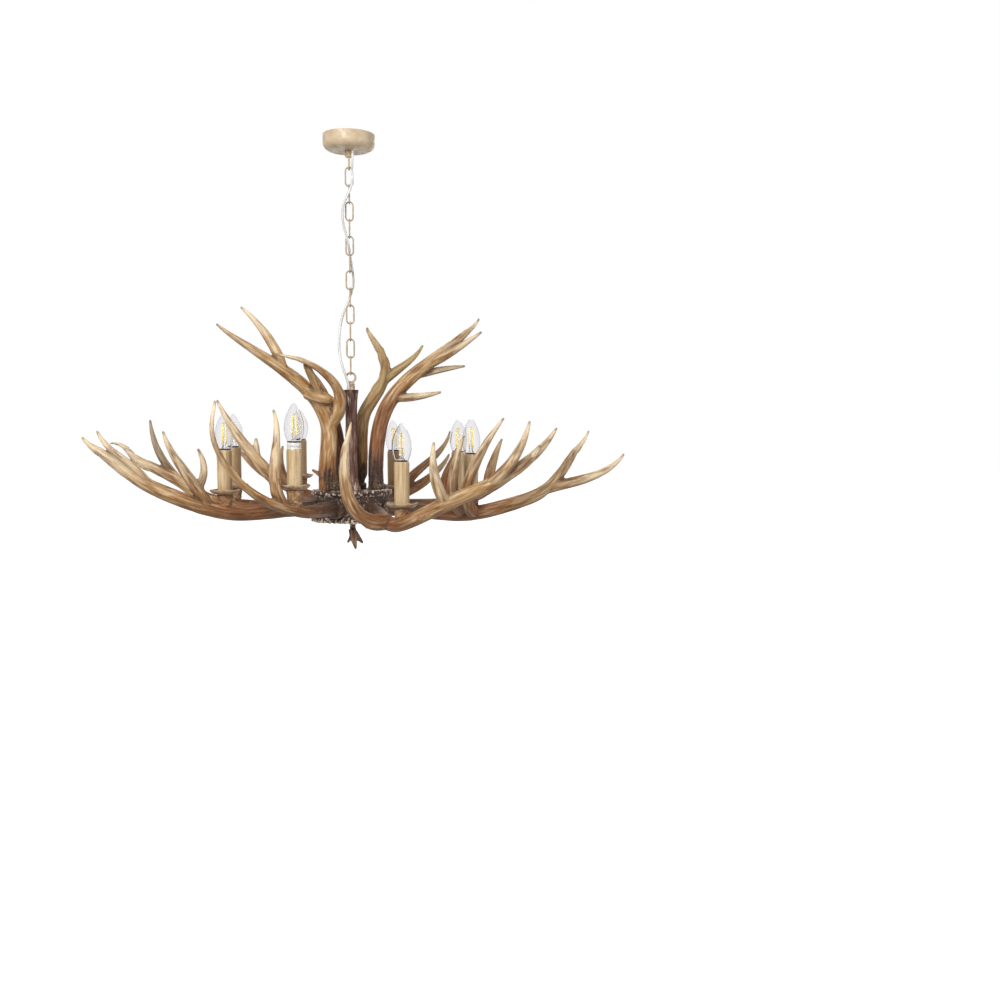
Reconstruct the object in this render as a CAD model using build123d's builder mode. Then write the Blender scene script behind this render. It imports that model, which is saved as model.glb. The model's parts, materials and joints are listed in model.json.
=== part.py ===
"""Antler chandelier: eight candle lights on cast-resin antlers, hung on a chain.

Millimetres, +Z up. The origin is on the ceiling plane, on the axis of the canopy.
+X is to the right and -Y to the front of the chandelier as photographed.
"""

import math
import os

from build123d import *

# ---- driving dimensions ---------------------------------------------------------------------

# Canopy and the bracket that holds it to the ceiling
CANOPY_R = 50.0
CANOPY_DEPTH = 30.0
CANOPY_SHOULDER_R = 14.0
CANOPY_WALL = 1.5
BRACKET_LENGTH = 84.0
BRACKET_WIDTH = 18.0
BRACKET_SHEET = 2.5
BRACKET_DROP = 9.0
BRACKET_FOOT = 20.0
BRACKET_HOLE_SPACING = 66.0
BRACKET_HOLE_R = 2.5
TERMINALS = (12.0, 26.0, 11.0)
TERMINAL_PLACE = (0.0, 27.0, -14.0)

# Chain of welded links; the play is what each pair has to spare
CHAIN_TOP = -60.0
LINK_WIRE_R = 1.5
LINK_LENGTH = 39.0
LINK_WIDTH = 17.0
LINK_COUNT = 12
LINK_PLAY = 0.1
LOOP_WIRE_R = 2.0
CANOPY_LOOP_R = 11.0
FIXTURE_LOOP_R = 9.0
SHANK_R = 8.0
LOOP_SOCKET = 8.0

# Supply cord, and the thin hollow it runs in
CORD_R = 2.5
CORD_HOLE_R = 2.8
CORD_DEPTH = 5.0
LEAD_RING_R = 7.9
LEAD_FOOT_R = 12.2
LEAD_SHIFT = 15.0
LEAD_BEND = 20.0

# Centre post, tube and hub
POST_TOP = -489.0
POST_R = 12.5
POST_FLARE_R = 15.0
POST_BORE_R = 10.6
POST_CAP = 8.0
TUBE_R = 5.0
TUBE_BORE_R = 3.3
HUB_TOP = -685.0
HUB_BOTTOM = -744.0
HUB_R = 72.0
HUB_RIM_R = 77.0
HUB_RIM = 5.0
HUB_WALL = 9.0
HUB_TEETH = 44
TOOTH_R = 3.2
COVER = 4.0
CONNECTOR_R = 38.0
CONNECTOR = 8.0
FINIAL_SOCKET = 11.0
STUD_DEPTH = 20.0
NUT_R = 8.0
NUT_HEIGHT = 5.0

# Arms: a bent steel tube carries each antler and its wires
ARM_HEIGHT = -721.0
ARM_TUBE_R = 4.0
ARM_TUBE_BORE_R = 2.8
ARM_TUBE_BEND = 15.0
ARM_TUBE_START = 46.0
FLEX_R = 2.3
FIT = 0.1

# Candle lights
CUP_R = 28.5
CUP_FLOOR_R = 18.0
CUP_DEPTH = 8.0
CUP_SHEET = 1.8
SLEEVE_R = 14.0
SLEEVE_BORE_R = 12.8
CANDLE = 80.0
HOLDER_R = 12.5
HOLDER_CUP = 32.0
HOLDER_STEM_R = 6.5
HOLDER_SOCKET = 12.0
FLEX_TOP = 40.0
SOCKET_R = 7.0
SOCKET_DEPTH = 27.0
BULB_R = 17.7
BULB_HEIGHT = 68.3
BULB_BELLY = 25.0
BULB_TIP_R = 4.4
BULB_GLASS = 0.8
BULB_NECK_R = 12.2
BULB_COLLAR = 0.5
BULB_COLLAR_TOP = 3.0
CAP_R = 6.7
CAP_LENGTH = 25.0
FILAMENT_R = 1.2
FILAMENT = 38.0
FILAMENT_BASE = 10.0
FILAMENT_RING_R = 4.8
STEM_R = 3.0

# Antlers: how late a long beam, a beam or a tine loses its girth on the way to its tip
LONG_BEAM = 6.5
BEAM = 4.5
TINE = 2.0
TIP_R = 2.0
SECTION_STEP = 55.0
CORONET_LIP = 2.8
CORONET = 12.0
PEDESTAL_R = 15.0
PEDESTAL_FOOT_R = 11.0

# Each light: name, place of its axis (x, y), height of its candle's foot and of the beam
# below it, and what its lampholder shows above the sleeve
LIGHTS = {
    "left_front": (-233.0, -94.0, -684.0, -719.0, 0.0),
    "left_back": (-234.0, 92.0, -682.0, -718.0, 0.0),
    "front_left": (-99.0, -228.0, -669.0, -708.0, 11.0),
    "front_right": (88.0, -228.0, -703.0, -733.0, 0.0),
    "right_front": (226.0, -93.0, -693.0, -726.0, 0.0),
    "right_back": (219.0, 95.0, -693.0, -717.0, 0.0),
    "back_right": (91.0, 228.0, -693.0, -715.0, 0.0),
    "back_left": (-109.0, 228.0, -669.0, -702.0, 0.0),
}

# What grows beyond the lamp on each arm: the beam goes on through the first list, and every
# other list is a tine of its own: root radius, how it tapers, and the points of its curve
ARM_ANTLERS = {
    "left_front": [
        (14.5, LONG_BEAM, [(-312, -110, -693), (-364, -112, -669), (-416, -112, -634), (-485, -95, -580)]),
        (9.5, TINE, [(-368, -113, -664), (-409, -110, -623), (-435, -103, -601), (-459, -92, -569)]),
        (12, TINE, [(-262, -101, -712), (-289, -116, -662), (-318, -126, -615), (-336, -134, -569)]),
        (8, TINE, [(-280, -110, -676), (-269, -112, -648), (-277, -122, -601)]),
    ],
    "left_back": [
        (13, LONG_BEAM, [(-296, 105, -703), (-346, 122, -672), (-420, 134, -633), (-484, 140, -594)]),
        (9, TINE, [(-352, 130, -665), (-385, 141, -622), (-407, 150, -547)]),
    ],
    "front_left": [
        (15.5, 1.2, [(-140, -256, -692), (-204, -280, -636), (-232, -283, -570), (-227, -274, -518)]),
        (11.5, TINE, [(-112, -233, -706), (-130, -250, -668), (-129, -250, -600), (-133, -244, -532)]),
        (11.5, TINE, [(-129, -250, -655), (-164, -236, -617), (-205, -221, -562), (-231, -214, -515)]),
        (8, TINE, [(-162, -236, -621), (-164, -230, -600), (-164, -228, -581)]),
    ],
    "front_right": [
        (13.5, LONG_BEAM, [(145, -248, -706), (217, -240, -676), (300, -224, -633), (371, -204, -563)]),
        (13, 2.4, [(70, -195, -729), (5, -217, -708), (-12, -222, -655), (0, -212, -553)]),
        (11, TINE, [(165, -247, -698), (149, -256, -665), (143, -258, -588)]),
        (11, TINE, [(245, -236, -662), (290, -240, -613), (315, -242, -551)]),
        (7, TINE, [(318, -219, -624), (329, -222, -606), (337, -222, -594)]),
    ],
    "right_front": [
        (14, BEAM, [(298, -116, -708), (368, -117, -678), (424, -110, -607), (452, -104, -569)]),
        (11, TINE, [(370, -116, -678), (413, -120, -667), (470, -119, -650), (519, -114, -613)]),
        (12.5, TINE, [(228, -106, -722), (213, -138, -688), (236, -152, -613), (280, -158, -545)]),
        (12, TINE, [(205, -104, -720), (188, -128, -685), (191, -136, -632), (208, -140, -578)]),
    ],
    "right_back": [
        (13, BEAM, [(264, 124, -703), (306, 140, -682), (368, 157, -642), (405, 164, -608)]),
        (12, TINE, [(284, 132, -695), (293, 137, -650), (317, 140, -586)]),
        (11, TINE, [(196, 84, -714), (187, 66, -678), (200, 58, -636), (212, 50, -604)]),
    ],
    "back_right": [
        (13.5, BEAM, [(128, 262, -700), (165, 290, -680), (198, 308, -653), (220, 318, -622)]),
        (11, TINE, [(112, 250, -707), (150, 280, -655), (192, 290, -619), (220, 294, -570)]),
    ],
    "back_left": [
        (13.5, BEAM, [(-146, 258, -686), (-186, 280, -664), (-221, 292, -637), (-247, 298, -608)]),
        (10, TINE, [(-135, 248, -690), (-151, 260, -655), (-148, 268, -602)]),
    ],
}

# The antlers that stand on the hub round the post
CROWN_ANTLERS = {
    "front_left": [
        (16.5, 2.6, [(-45, -30, -700), (-45, -30, -620), (-47, -28, -545), (-110, -42, -466),
                     (-246, -76, -371)]),
        (10, TINE, [(-128, -47, -447), (-150, -44, -400), (-205, -34, -335)]),
        (15, 0.9, [(-44, -28, -556), (-22, -45, -500), (-61, -78, -452), (-137, -94, -427)]),
        (14, LONG_BEAM, [(-84, -38, -494), (-58, -38, -506), (-32, -37, -508)]),
        (8, LONG_BEAM, [(-60, -42, -502), (-71, -55, -471), (-86, -82, -442)]),
        (7, TINE, [(-45, -31, -672), (-58, -38, -655), (-75, -44, -643)]),
    ],
    "back_left": [
        (12, BEAM, [(-21, 45, -700), (-24, 43, -600), (-42, 50, -523), (-89, 68, -439)]),
    ],
    "back_right": [
        (13.5, BEAM, [(14, 44, -700), (19, 39, -587), (27, 41, -533), (64, 48, -468), (60, 50, -411),
                      (35, 49, -362)]),
        (10.5, TINE, [(48, 45, -490), (82, 51, -455), (118, 58, -428), (145, 64, -396)]),
    ],
    "right": [
        (15, BEAM, [(51, 10, -700), (50, 10, -597), (72, 6, -518), (152, -6, -436), (251, -12, -349)]),
        (10, TINE, [(144, -5, -444), (190, -17, -418), (254, -30, -376)]),
        (8, TINE, [(128, -3, -460), (167, 6, -450), (226, 20, -440)]),
        (9, TINE, [(86, 4, -504), (125, -10, -502), (175, -20, -493)]),
    ],
}

# The small antler tip under the hub
FINIAL = [
    (11, 0.6, [(0, 0, -734), (1, 0, -760), (-2, 0, -775), (-9, -3, -788)]),
    (7.5, TINE, [(0, 0, -762), (3, -1, -780), (7, -2, -801)]),
    (6.5, TINE, [(1, 0, -764), (10, 2, -777), (21, 4, -790)]),
]

# The cord's way down the chain, from the canopy to the top of the post
CORD_ROUTE = [
    (7, -13, -26),
    (7, -13, -44),
    (6, -9, -64),
    (6, -8, -84),
    (4, -13, -101),
    (-4, -13, -118),
    (-12, -11, -135),
    (-14, -8, -153),
    (-12, -8, -171),
    (-7, -6, -189),
    (-3, -2, -204),
    (-1, 5, -217),
    (1, 13, -231),
    (4, 14, -248),
    (7, 14, -268),
    (6, 14, -289),
    (-1, 14, -309),
    (-8, 12, -327),
    (-15, 8, -345),
    (-20, 5, -366),
    (-22, 3, -389),
    (-22, -1, -411),
    (-19, -5, -433),
    (-13, -9, -453),
    (-7, -11, -469),
    (-4.5, -10, -482),
    (-4.5, -10, POST_TOP - CORD_DEPTH),
]

os.makedirs("parts", exist_ok=True)

# ---- helpers ----------------------------------------------------------------------------------


def finish(piece, name):
    """Label a finished piece and write it."""
    piece.label = name
    export_step(piece, f"parts/{name}.step")


def arc_radii(points):
    """The largest arc that the runs on both sides of each corner of a route allow."""
    radii = []
    for before, corner, after in zip(points, points[1:], points[2:]):
        came = Vector(*corner) - Vector(*before)
        goes = Vector(*after) - Vector(*corner)
        half_turn = math.radians(came.get_angle(goes)) / 2
        radii.append(0.45 * min(came.length, goes.length) / math.tan(half_turn))
    return radii


def along(points, radii, radius, bore=0.0):
    """A round rod, or a tube where it has a bore, along straight runs and tangent arcs."""
    with BuildPart() as rod:
        with BuildLine():
            route = FilletPolyline(*points, radius=radii)
        with BuildSketch(Plane(origin=route @ 0, z_dir=route % 0)):
            Circle(radius)
            if bore:
                Circle(bore, mode=Mode.SUBTRACT)
        sweep()
    return rod.part


def limb(root_r, fullness, points):
    """A beam or tine: circles that shrink along a smooth curve, lofted from root to tip."""
    with BuildPart() as growth:
        with BuildLine():
            curve = Spline(*points)
        steps = max(3, round(curve.length / SECTION_STEP))
        for i in range(steps + 1):
            t = i / steps
            girth = TIP_R + (root_r - TIP_R) * (1 - t**fullness)
            with BuildSketch(Plane(origin=curve @ t, z_dir=curve % t)):
                Circle(girth)
        loft()
    return growth.part


def nut(bore_r):
    """A hexagon nut that stands on the origin."""
    with BuildPart() as hexagon:
        with BuildSketch():
            RegularPolygon(NUT_R, 6)
            Circle(bore_r, mode=Mode.SUBTRACT)
        extrude(amount=NUT_HEIGHT)
    return hexagon.part


# ---- canopy -----------------------------------------------------------------------------------

with BuildPart() as canopy:
    with BuildSketch(Plane.XZ):
        with BuildLine():
            Line((0, 0), (CANOPY_R, 0))
            Line((CANOPY_R, 0), (CANOPY_R, CANOPY_SHOULDER_R - CANOPY_DEPTH))
            RadiusArc(
                (CANOPY_R, CANOPY_SHOULDER_R - CANOPY_DEPTH),
                (CANOPY_R - CANOPY_SHOULDER_R, -CANOPY_DEPTH),
                CANOPY_SHOULDER_R,
            )
            Line((CANOPY_R - CANOPY_SHOULDER_R, -CANOPY_DEPTH), (0, -CANOPY_DEPTH))
            Line((0, -CANOPY_DEPTH), (0, 0))
        make_face()
    revolve(axis=Axis.Z)
    offset(amount=-CANOPY_WALL, openings=canopy.faces().sort_by(Axis.Z)[-1])
    with Locations((0, 0, -CANOPY_DEPTH)):
        Cylinder(TUBE_R + FIT, 6 * CANOPY_WALL, mode=Mode.SUBTRACT)
    with Locations((CORD_ROUTE[0][0], CORD_ROUTE[0][1], -CANOPY_DEPTH)):
        Cylinder(CORD_HOLE_R, 6 * CANOPY_WALL, mode=Mode.SUBTRACT)
finish(canopy.part, "ceiling_canopy")

# A strip with two feet on the ceiling and a dropped middle
foot_inner = BRACKET_LENGTH / 2 - BRACKET_FOOT
middle_outer = foot_inner - BRACKET_DROP
with BuildPart() as bracket:
    with BuildSketch(Plane.XZ):
        with BuildLine():
            Polyline(
                (BRACKET_LENGTH / 2, 0),
                (foot_inner, 0),
                (middle_outer, -BRACKET_DROP),
                (-middle_outer, -BRACKET_DROP),
                (-foot_inner, 0),
                (-BRACKET_LENGTH / 2, 0),
            )
            offset(amount=BRACKET_SHEET, side=Side.LEFT)
        make_face()
    extrude(amount=BRACKET_WIDTH / 2, both=True)
    with GridLocations(BRACKET_HOLE_SPACING, 1, 2, 1):
        Cylinder(BRACKET_HOLE_R, 4 * BRACKET_SHEET, mode=Mode.SUBTRACT)
    with Locations((0, 0, -BRACKET_DROP)):
        Cylinder(TUBE_R + FIT, 4 * BRACKET_SHEET, mode=Mode.SUBTRACT)
finish(bracket.part, "ceiling_bracket")

# Ring centres: each ring's wire carries, or hangs on, the crown of the link next to it
canopy_ring_z = CHAIN_TOP - 2 * LINK_WIRE_R - LINK_PLAY - LOOP_WIRE_R + CANOPY_LOOP_R
link_pitch = LINK_LENGTH - 4 * LINK_WIRE_R - LINK_PLAY
chain_bottom = CHAIN_TOP - (LINK_COUNT - 1) * link_pitch - LINK_LENGTH
fixture_ring_z = chain_bottom + 2 * LINK_WIRE_R + LINK_PLAY + LOOP_WIRE_R - FIXTURE_LOOP_R

canopy_shank_bottom = canopy_ring_z + CANOPY_LOOP_R
with BuildPart() as canopy_loop:
    with BuildSketch(Plane.XZ):
        with Locations((0, canopy_ring_z + CANOPY_LOOP_R)):
            Circle(LOOP_WIRE_R)
    revolve(axis=Axis((0, 0, canopy_ring_z), (1, 0, 0)))
    with BuildSketch(Plane.XY.offset(canopy_shank_bottom)):
        Circle(SHANK_R)
    extrude(amount=-CANOPY_DEPTH - canopy_shank_bottom)
    with BuildSketch(Plane.XY.offset(-CANOPY_DEPTH)):
        Circle(TUBE_R + FIT)
    extrude(amount=-LOOP_SOCKET, mode=Mode.SUBTRACT)
finish(canopy_loop.part, "canopy_loop")

with BuildPart() as nipple:
    with BuildSketch(Plane.XY.offset(-CANOPY_DEPTH - LOOP_SOCKET)):
        Circle(TUBE_R)
        Circle(TUBE_BORE_R, mode=Mode.SUBTRACT)
    extrude(amount=CANOPY_DEPTH + LOOP_SOCKET - BRACKET_DROP + NUT_HEIGHT + 1)
finish(nipple.part, "canopy_nipple")

tube_nut = nut(TUBE_R + FIT)
with BuildPart() as canopy_nuts:
    with Locations((0, 0, -BRACKET_DROP), (0, 0, -BRACKET_DROP - BRACKET_SHEET - NUT_HEIGHT)):
        add(tube_nut)
finish(canopy_nuts.part, "canopy_nuts")

with BuildPart() as terminal_block:
    with Locations(TERMINAL_PLACE):
        Box(*TERMINALS)
    fillet(terminal_block.edges().filter_by(Axis.X), radius=1.5)
    terminal_top = Plane.XY.offset(TERMINAL_PLACE[2] + TERMINALS[2] / 2)
    with BuildSketch(terminal_top):
        with Locations((TERMINAL_PLACE[0], TERMINAL_PLACE[1])):
            with GridLocations(1, TERMINALS[1] / 3, 1, 3):
                Circle(2)
    extrude(amount=-3, mode=Mode.SUBTRACT)
finish(terminal_block.part, "terminal_block")

# ---- chain and cord ---------------------------------------------------------------------------


def chain_links(first, plane_x):
    """Every second link of the chain from the given one, as separate solids."""
    reach = LINK_WIDTH / 2 - LINK_WIRE_R
    straight = LINK_LENGTH / 2 - LINK_WIDTH / 2
    with BuildPart() as link:
        with BuildLine(Plane(origin=(0, 0, 0), x_dir=plane_x, z_dir=Vector(*plane_x).cross(Vector(0, 0, 1)))):
            Line((-reach, 0), (-reach, straight))
            RadiusArc((-reach, straight), (reach, straight), reach)
            Line((reach, straight), (reach, -straight))
            RadiusArc((reach, -straight), (-reach, -straight), reach)
            Line((-reach, -straight), (-reach, 0))
        with BuildSketch(Plane(origin=Vector(*plane_x) * -reach, z_dir=(0, 0, 1))):
            Circle(LINK_WIRE_R)
        sweep()
    with BuildPart() as links:
        for i in range(first, LINK_COUNT, 2):
            with Locations((0, 0, CHAIN_TOP - LINK_LENGTH / 2 - i * link_pitch)):
                add(link.part)
    return links.part


finish(chain_links(0, (1, 0, 0)), "chain_links_flat")
finish(chain_links(1, (0, 1, 0)), "chain_links_edge")

cord_radii = arc_radii(CORD_ROUTE)
cord = along(CORD_ROUTE, cord_radii, CORD_R)
print("cord radii", [round(r, 1) for r in cord_radii])
print("cord length", round(cord.volume / (math.pi * CORD_R**2), 1), "mm")
finish(cord, "supply_cord")

# ---- centre post, tube and hub ----------------------------------------------------------------

shank_low = POST_TOP + NUT_HEIGHT
with BuildPart() as fixture_loop:
    with BuildSketch(Plane.YZ):
        with Locations((0, fixture_ring_z + FIXTURE_LOOP_R)):
            Circle(LOOP_WIRE_R)
    revolve(axis=Axis((0, 0, fixture_ring_z), (0, 1, 0)))
    with BuildSketch(Plane.XY.offset(shank_low)):
        Circle(SHANK_R)
    extrude(amount=fixture_ring_z - FIXTURE_LOOP_R + LOOP_WIRE_R / 2 - shank_low)
    with BuildSketch(Plane.XY.offset(shank_low)):
        Circle(TUBE_R + FIT)
    extrude(amount=LOOP_SOCKET, mode=Mode.SUBTRACT)
finish(fixture_loop.part, "fixture_loop")

tube_top = shank_low + LOOP_SOCKET
tube_bottom = HUB_BOTTOM - FINIAL_SOCKET
with BuildPart() as centre_tube:
    with BuildSketch(Plane.XY.offset(tube_bottom)):
        Circle(TUBE_R)
        Circle(TUBE_BORE_R, mode=Mode.SUBTRACT)
    extrude(amount=tube_top - tube_bottom)
finish(centre_tube.part, "centre_tube")

with BuildPart() as tube_nuts:
    with Locations(
        (0, 0, POST_TOP),
        (0, 0, HUB_TOP - HUB_WALL - NUT_HEIGHT),
        (0, 0, HUB_BOTTOM + COVER),
    ):
        add(tube_nut)
finish(tube_nuts.part, "tube_nuts")

lead_x, lead_y = CORD_ROUTE[-1][0], CORD_ROUTE[-1][1]
lead_way = Vector(lead_x, lead_y, 0).normalized()
lead_route = [
    (lead_x, lead_y, POST_TOP - CORD_DEPTH),
    (lead_x, lead_y, POST_TOP - CORD_DEPTH - LEAD_SHIFT),
    tuple(lead_way * LEAD_RING_R + Vector(0, 0, POST_TOP - CORD_DEPTH - 2 * LEAD_SHIFT)),
    tuple(lead_way * LEAD_RING_R + Vector(0, 0, HUB_TOP + 2 * LEAD_SHIFT)),
    tuple(lead_way * LEAD_FOOT_R + Vector(0, 0, HUB_TOP + LEAD_SHIFT)),
    tuple(lead_way * LEAD_FOOT_R + Vector(0, 0, ARM_HEIGHT + CONNECTOR / 2)),
]
lead_bends = [LEAD_BEND] * (len(lead_route) - 2)
finish(along(lead_route, lead_bends, FLEX_R), "inner_lead")

# The post is cast like a shaft of antler: a flared top, a slim waist and a knotty foot
with BuildPart() as centre_post:
    with BuildSketch(Plane.XZ):
        with BuildLine():
            outline = Spline(
                (POST_FLARE_R, POST_TOP),
                (POST_R, POST_TOP - 22),
                (POST_R - 0.7, (POST_TOP + HUB_TOP) / 2),
                (POST_R, HUB_TOP + 24),
                (POST_FLARE_R + 2, HUB_TOP),
            )
            Polyline(outline @ 1, (0, HUB_TOP), (0, POST_TOP), outline @ 0)
        make_face()
    revolve(axis=Axis.Z)
    with BuildSketch(Plane.XY.offset(HUB_TOP)):
        Circle(POST_BORE_R)
    extrude(amount=POST_TOP - POST_CAP - HUB_TOP, mode=Mode.SUBTRACT)
    with BuildSketch(Plane.XY.offset(POST_TOP)):
        Circle(TUBE_R + FIT)
        with Locations((lead_x, lead_y)):
            Circle(CORD_HOLE_R)
    extrude(amount=-POST_CAP, mode=Mode.SUBTRACT)
    add(along(lead_route, lead_bends, CORD_HOLE_R), mode=Mode.SUBTRACT)
finish(centre_post.part, "centre_post")


def arm_plane(arm):
    """The plane square to an arm's tube at its start inside the drum."""
    x, y, _, beam_z, _ = LIGHTS[arm]
    start = Vector(x, y, 0).normalized() * ARM_TUBE_START + Vector(0, 0, ARM_HEIGHT)
    return Plane(origin=start, z_dir=Vector(x, y, beam_z) - start)


arm_planes = {arm: arm_plane(arm) for arm in LIGHTS}
crown_places = [(limbs[0][2][0][0], limbs[0][2][0][1]) for limbs in CROWN_ANTLERS.values()]

# The drum's outside, which the antlers' roots are cut to
with BuildPart() as drum:
    with BuildSketch(Plane.XZ):
        with BuildLine():
            Polyline(
                (0, HUB_TOP),
                (HUB_RIM_R, HUB_TOP),
                (HUB_RIM_R, HUB_TOP - HUB_RIM),
                (HUB_R, HUB_TOP - 2 * HUB_RIM),
                (HUB_R, HUB_BOTTOM + HUB_RIM),
                (HUB_RIM_R, HUB_BOTTOM + HUB_RIM),
                (HUB_RIM_R, HUB_BOTTOM),
                (0, HUB_BOTTOM),
                close=True,
            )
        make_face()
    revolve(axis=Axis.Z)

# The drum itself: thick-walled, open below, with a toothed skirt
with BuildPart() as hub:
    add(drum.part)
    with BuildSketch(Plane.XY.offset(HUB_BOTTOM)):
        Circle(HUB_R - HUB_WALL)
    extrude(amount=HUB_TOP - HUB_WALL - HUB_BOTTOM, mode=Mode.SUBTRACT)
    with BuildSketch(Plane.XY.offset(HUB_BOTTOM)):
        with PolarLocations(HUB_RIM_R, HUB_TEETH):
            Circle(TOOTH_R)
    extrude(amount=HUB_RIM, mode=Mode.SUBTRACT)
    with BuildSketch(Plane.XY.offset(HUB_TOP)):
        Circle(TUBE_R + FIT)
        with Locations(*crown_places):
            Circle(ARM_TUBE_R + FIT)
        with Locations(lead_way * LEAD_FOOT_R):
            Circle(CORD_HOLE_R)
    extrude(amount=-HUB_WALL, mode=Mode.SUBTRACT)
    for seat in arm_planes.values():
        with BuildSketch(seat):
            Circle(ARM_TUBE_R + FIT)
        extrude(amount=HUB_R, mode=Mode.SUBTRACT)
finish(hub.part, "hub_shell")

with BuildPart() as hub_cover:
    with BuildSketch(Plane.XY.offset(HUB_BOTTOM)):
        Circle(HUB_R - HUB_WALL - FIT)
        Circle(TUBE_R + FIT, mode=Mode.SUBTRACT)
    extrude(amount=COVER)
    chamfer(hub_cover.edges().group_by(Axis.Z)[0].sort_by(SortBy.LENGTH)[-1], length=1)
finish(hub_cover.part, "hub_cover")

with BuildPart() as hub_connector:
    with BuildSketch(Plane.XY.offset(ARM_HEIGHT - CONNECTOR / 2)):
        Circle(CONNECTOR_R)
        Circle(TUBE_R + 1, mode=Mode.SUBTRACT)
    extrude(amount=CONNECTOR)
finish(hub_connector.part, "hub_connector")

finial_limbs = [limb(*growth) for growth in FINIAL]
with BuildPart() as finial:
    for growth in finial_limbs:
        add(growth)
    split(bisect_by=Plane.XY.offset(HUB_BOTTOM), keep=Keep.BOTTOM)
    with BuildSketch(Plane.XY.offset(HUB_BOTTOM)):
        Circle(TUBE_R + FIT)
    extrude(amount=-FINIAL_SOCKET, mode=Mode.SUBTRACT)
finish(finial.part, "bottom_finial")

# ---- studs, nuts, arm tubes and wires ---------------------------------------------------------

stud_bottom = HUB_TOP - HUB_WALL - NUT_HEIGHT - 3
with BuildPart() as crown_studs:
    with BuildSketch(Plane.XY.offset(stud_bottom)):
        with Locations(*crown_places):
            Circle(ARM_TUBE_R)
    extrude(amount=HUB_TOP + STUD_DEPTH - stud_bottom)
finish(crown_studs.part, "crown_studs")

stud_nut = nut(ARM_TUBE_R + FIT)
nut_seat = math.sqrt((HUB_R - HUB_WALL) ** 2 - NUT_R**2) - NUT_HEIGHT - ARM_TUBE_START - 2 * FIT
with BuildPart() as stud_nuts:
    with Locations(*[(x, y, HUB_TOP - HUB_WALL - NUT_HEIGHT) for x, y in crown_places]):
        add(stud_nut)
    for seat in arm_planes.values():
        with Locations(seat.offset(nut_seat).location):
            add(stud_nut)
finish(stud_nuts.part, "stud_nuts")


def tube_route(arm, inset, top):
    """From inside the drum straight out to the light, then up on its axis."""
    x, y, _, beam_z, _ = LIGHTS[arm]
    return [tuple(arm_planes[arm].offset(-inset).origin), (x, y, beam_z), (x, y, top)]


tubes, flexes, bores = [], [], {}
for arm, (x, y, foot, beam_z, _) in LIGHTS.items():
    route = tube_route(arm, 0, foot + HOLDER_SOCKET)
    tubes.append(along(route, [ARM_TUBE_BEND], ARM_TUBE_R, ARM_TUBE_BORE_R))
    bores[arm] = along(route, [ARM_TUBE_BEND], ARM_TUBE_R + FIT)
    route = tube_route(arm, ARM_TUBE_START - CONNECTOR_R - 1, foot + FLEX_TOP)
    flexes.append(along(route, [ARM_TUBE_BEND], FLEX_R))
finish(Compound(tubes), "arm_tubes")
finish(Compound(flexes), "lamp_flexes")

# ---- antlers ----------------------------------------------------------------------------------

def coronet(seat, root_r):
    """The knotty ring round an antler's root: a low double cone."""
    with BuildPart() as ring:
        with BuildSketch(seat):
            Circle(root_r + CORONET_LIP / 2)
        with BuildSketch(seat.offset(CORONET / 2)):
            Circle(root_r + CORONET_LIP)
        with BuildSketch(seat.offset(CORONET)):
            Circle(root_r)
        loft(ruled=True)
    return ring.part


def arm_antler(arm):
    """A low antler: its root on the drum, a seat for the light, and all that grows beyond."""
    x, y, foot, beam_z, _ = LIGHTS[arm]
    root = arm_planes[arm].origin
    lamp = Vector(x, y, beam_z)
    root_r, fullness, beyond = ARM_ANTLERS[arm][0]
    growths = [limb(root_r, fullness, [root, (root + lamp) * 0.5, lamp, *beyond])]
    growths += [limb(*growth) for growth in ARM_ANTLERS[arm][1:]]
    with BuildPart() as antler:
        for growth in growths:
            add(growth)
        add(coronet(arm_planes[arm].offset(HUB_R - ARM_TUBE_START - 1), root_r))
        with BuildSketch(Plane.XY.offset(beam_z)):
            with Locations((x, y)):
                Circle(PEDESTAL_FOOT_R)
        with BuildSketch(Plane.XY.offset(foot - CUP_SHEET)):
            with Locations((x, y)):
                Circle(PEDESTAL_R)
        loft(ruled=True)
        add(drum.part, mode=Mode.SUBTRACT)
        add(bores[arm], mode=Mode.SUBTRACT)
    return antler.part


def crown_antler(limbs):
    """An upper antler: it stands on the drum on a stud."""
    growths = [limb(*growth) for growth in limbs]
    root_r, _, points = limbs[0]
    root_x, root_y, _ = points[0]
    with BuildPart() as antler:
        for growth in growths:
            add(growth)
        add(coronet(Plane(origin=(root_x, root_y, HUB_TOP)), root_r))
        split(bisect_by=Plane.XY.offset(HUB_TOP), keep=Keep.TOP)
        with BuildSketch(Plane.XY.offset(HUB_TOP)):
            with Locations((root_x, root_y)):
                Circle(ARM_TUBE_R + FIT)
        extrude(amount=STUD_DEPTH, mode=Mode.SUBTRACT)
    return antler.part


for arm in LIGHTS:
    finish(arm_antler(arm), f"arm_antler_{arm}")
for place, limbs in CROWN_ANTLERS.items():
    finish(crown_antler(limbs), f"crown_antler_{place}")

# ---- candle lights ----------------------------------------------------------------------------


def drip_cup():
    """A shallow dish with a hole for the tube; its floor's top is at the origin."""
    with BuildPart() as cup:
        with BuildSketch(Plane.XZ):
            with BuildLine():
                floor = Line((ARM_TUBE_R + FIT, 0), (CUP_FLOOR_R, 0))
                wall = RadiusArc(floor @ 1, (CUP_R - CUP_SHEET, CUP_DEPTH - CUP_SHEET), -14)
                lip = Line(wall @ 1, (CUP_R, CUP_DEPTH - CUP_SHEET))
                under = RadiusArc(lip @ 1, (CUP_FLOOR_R + 1, -CUP_SHEET), 14)
                Polyline(under @ 1, (ARM_TUBE_R + FIT, -CUP_SHEET), floor @ 0)
            make_face()
        revolve(axis=Axis.Z)
    return cup.part


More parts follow.
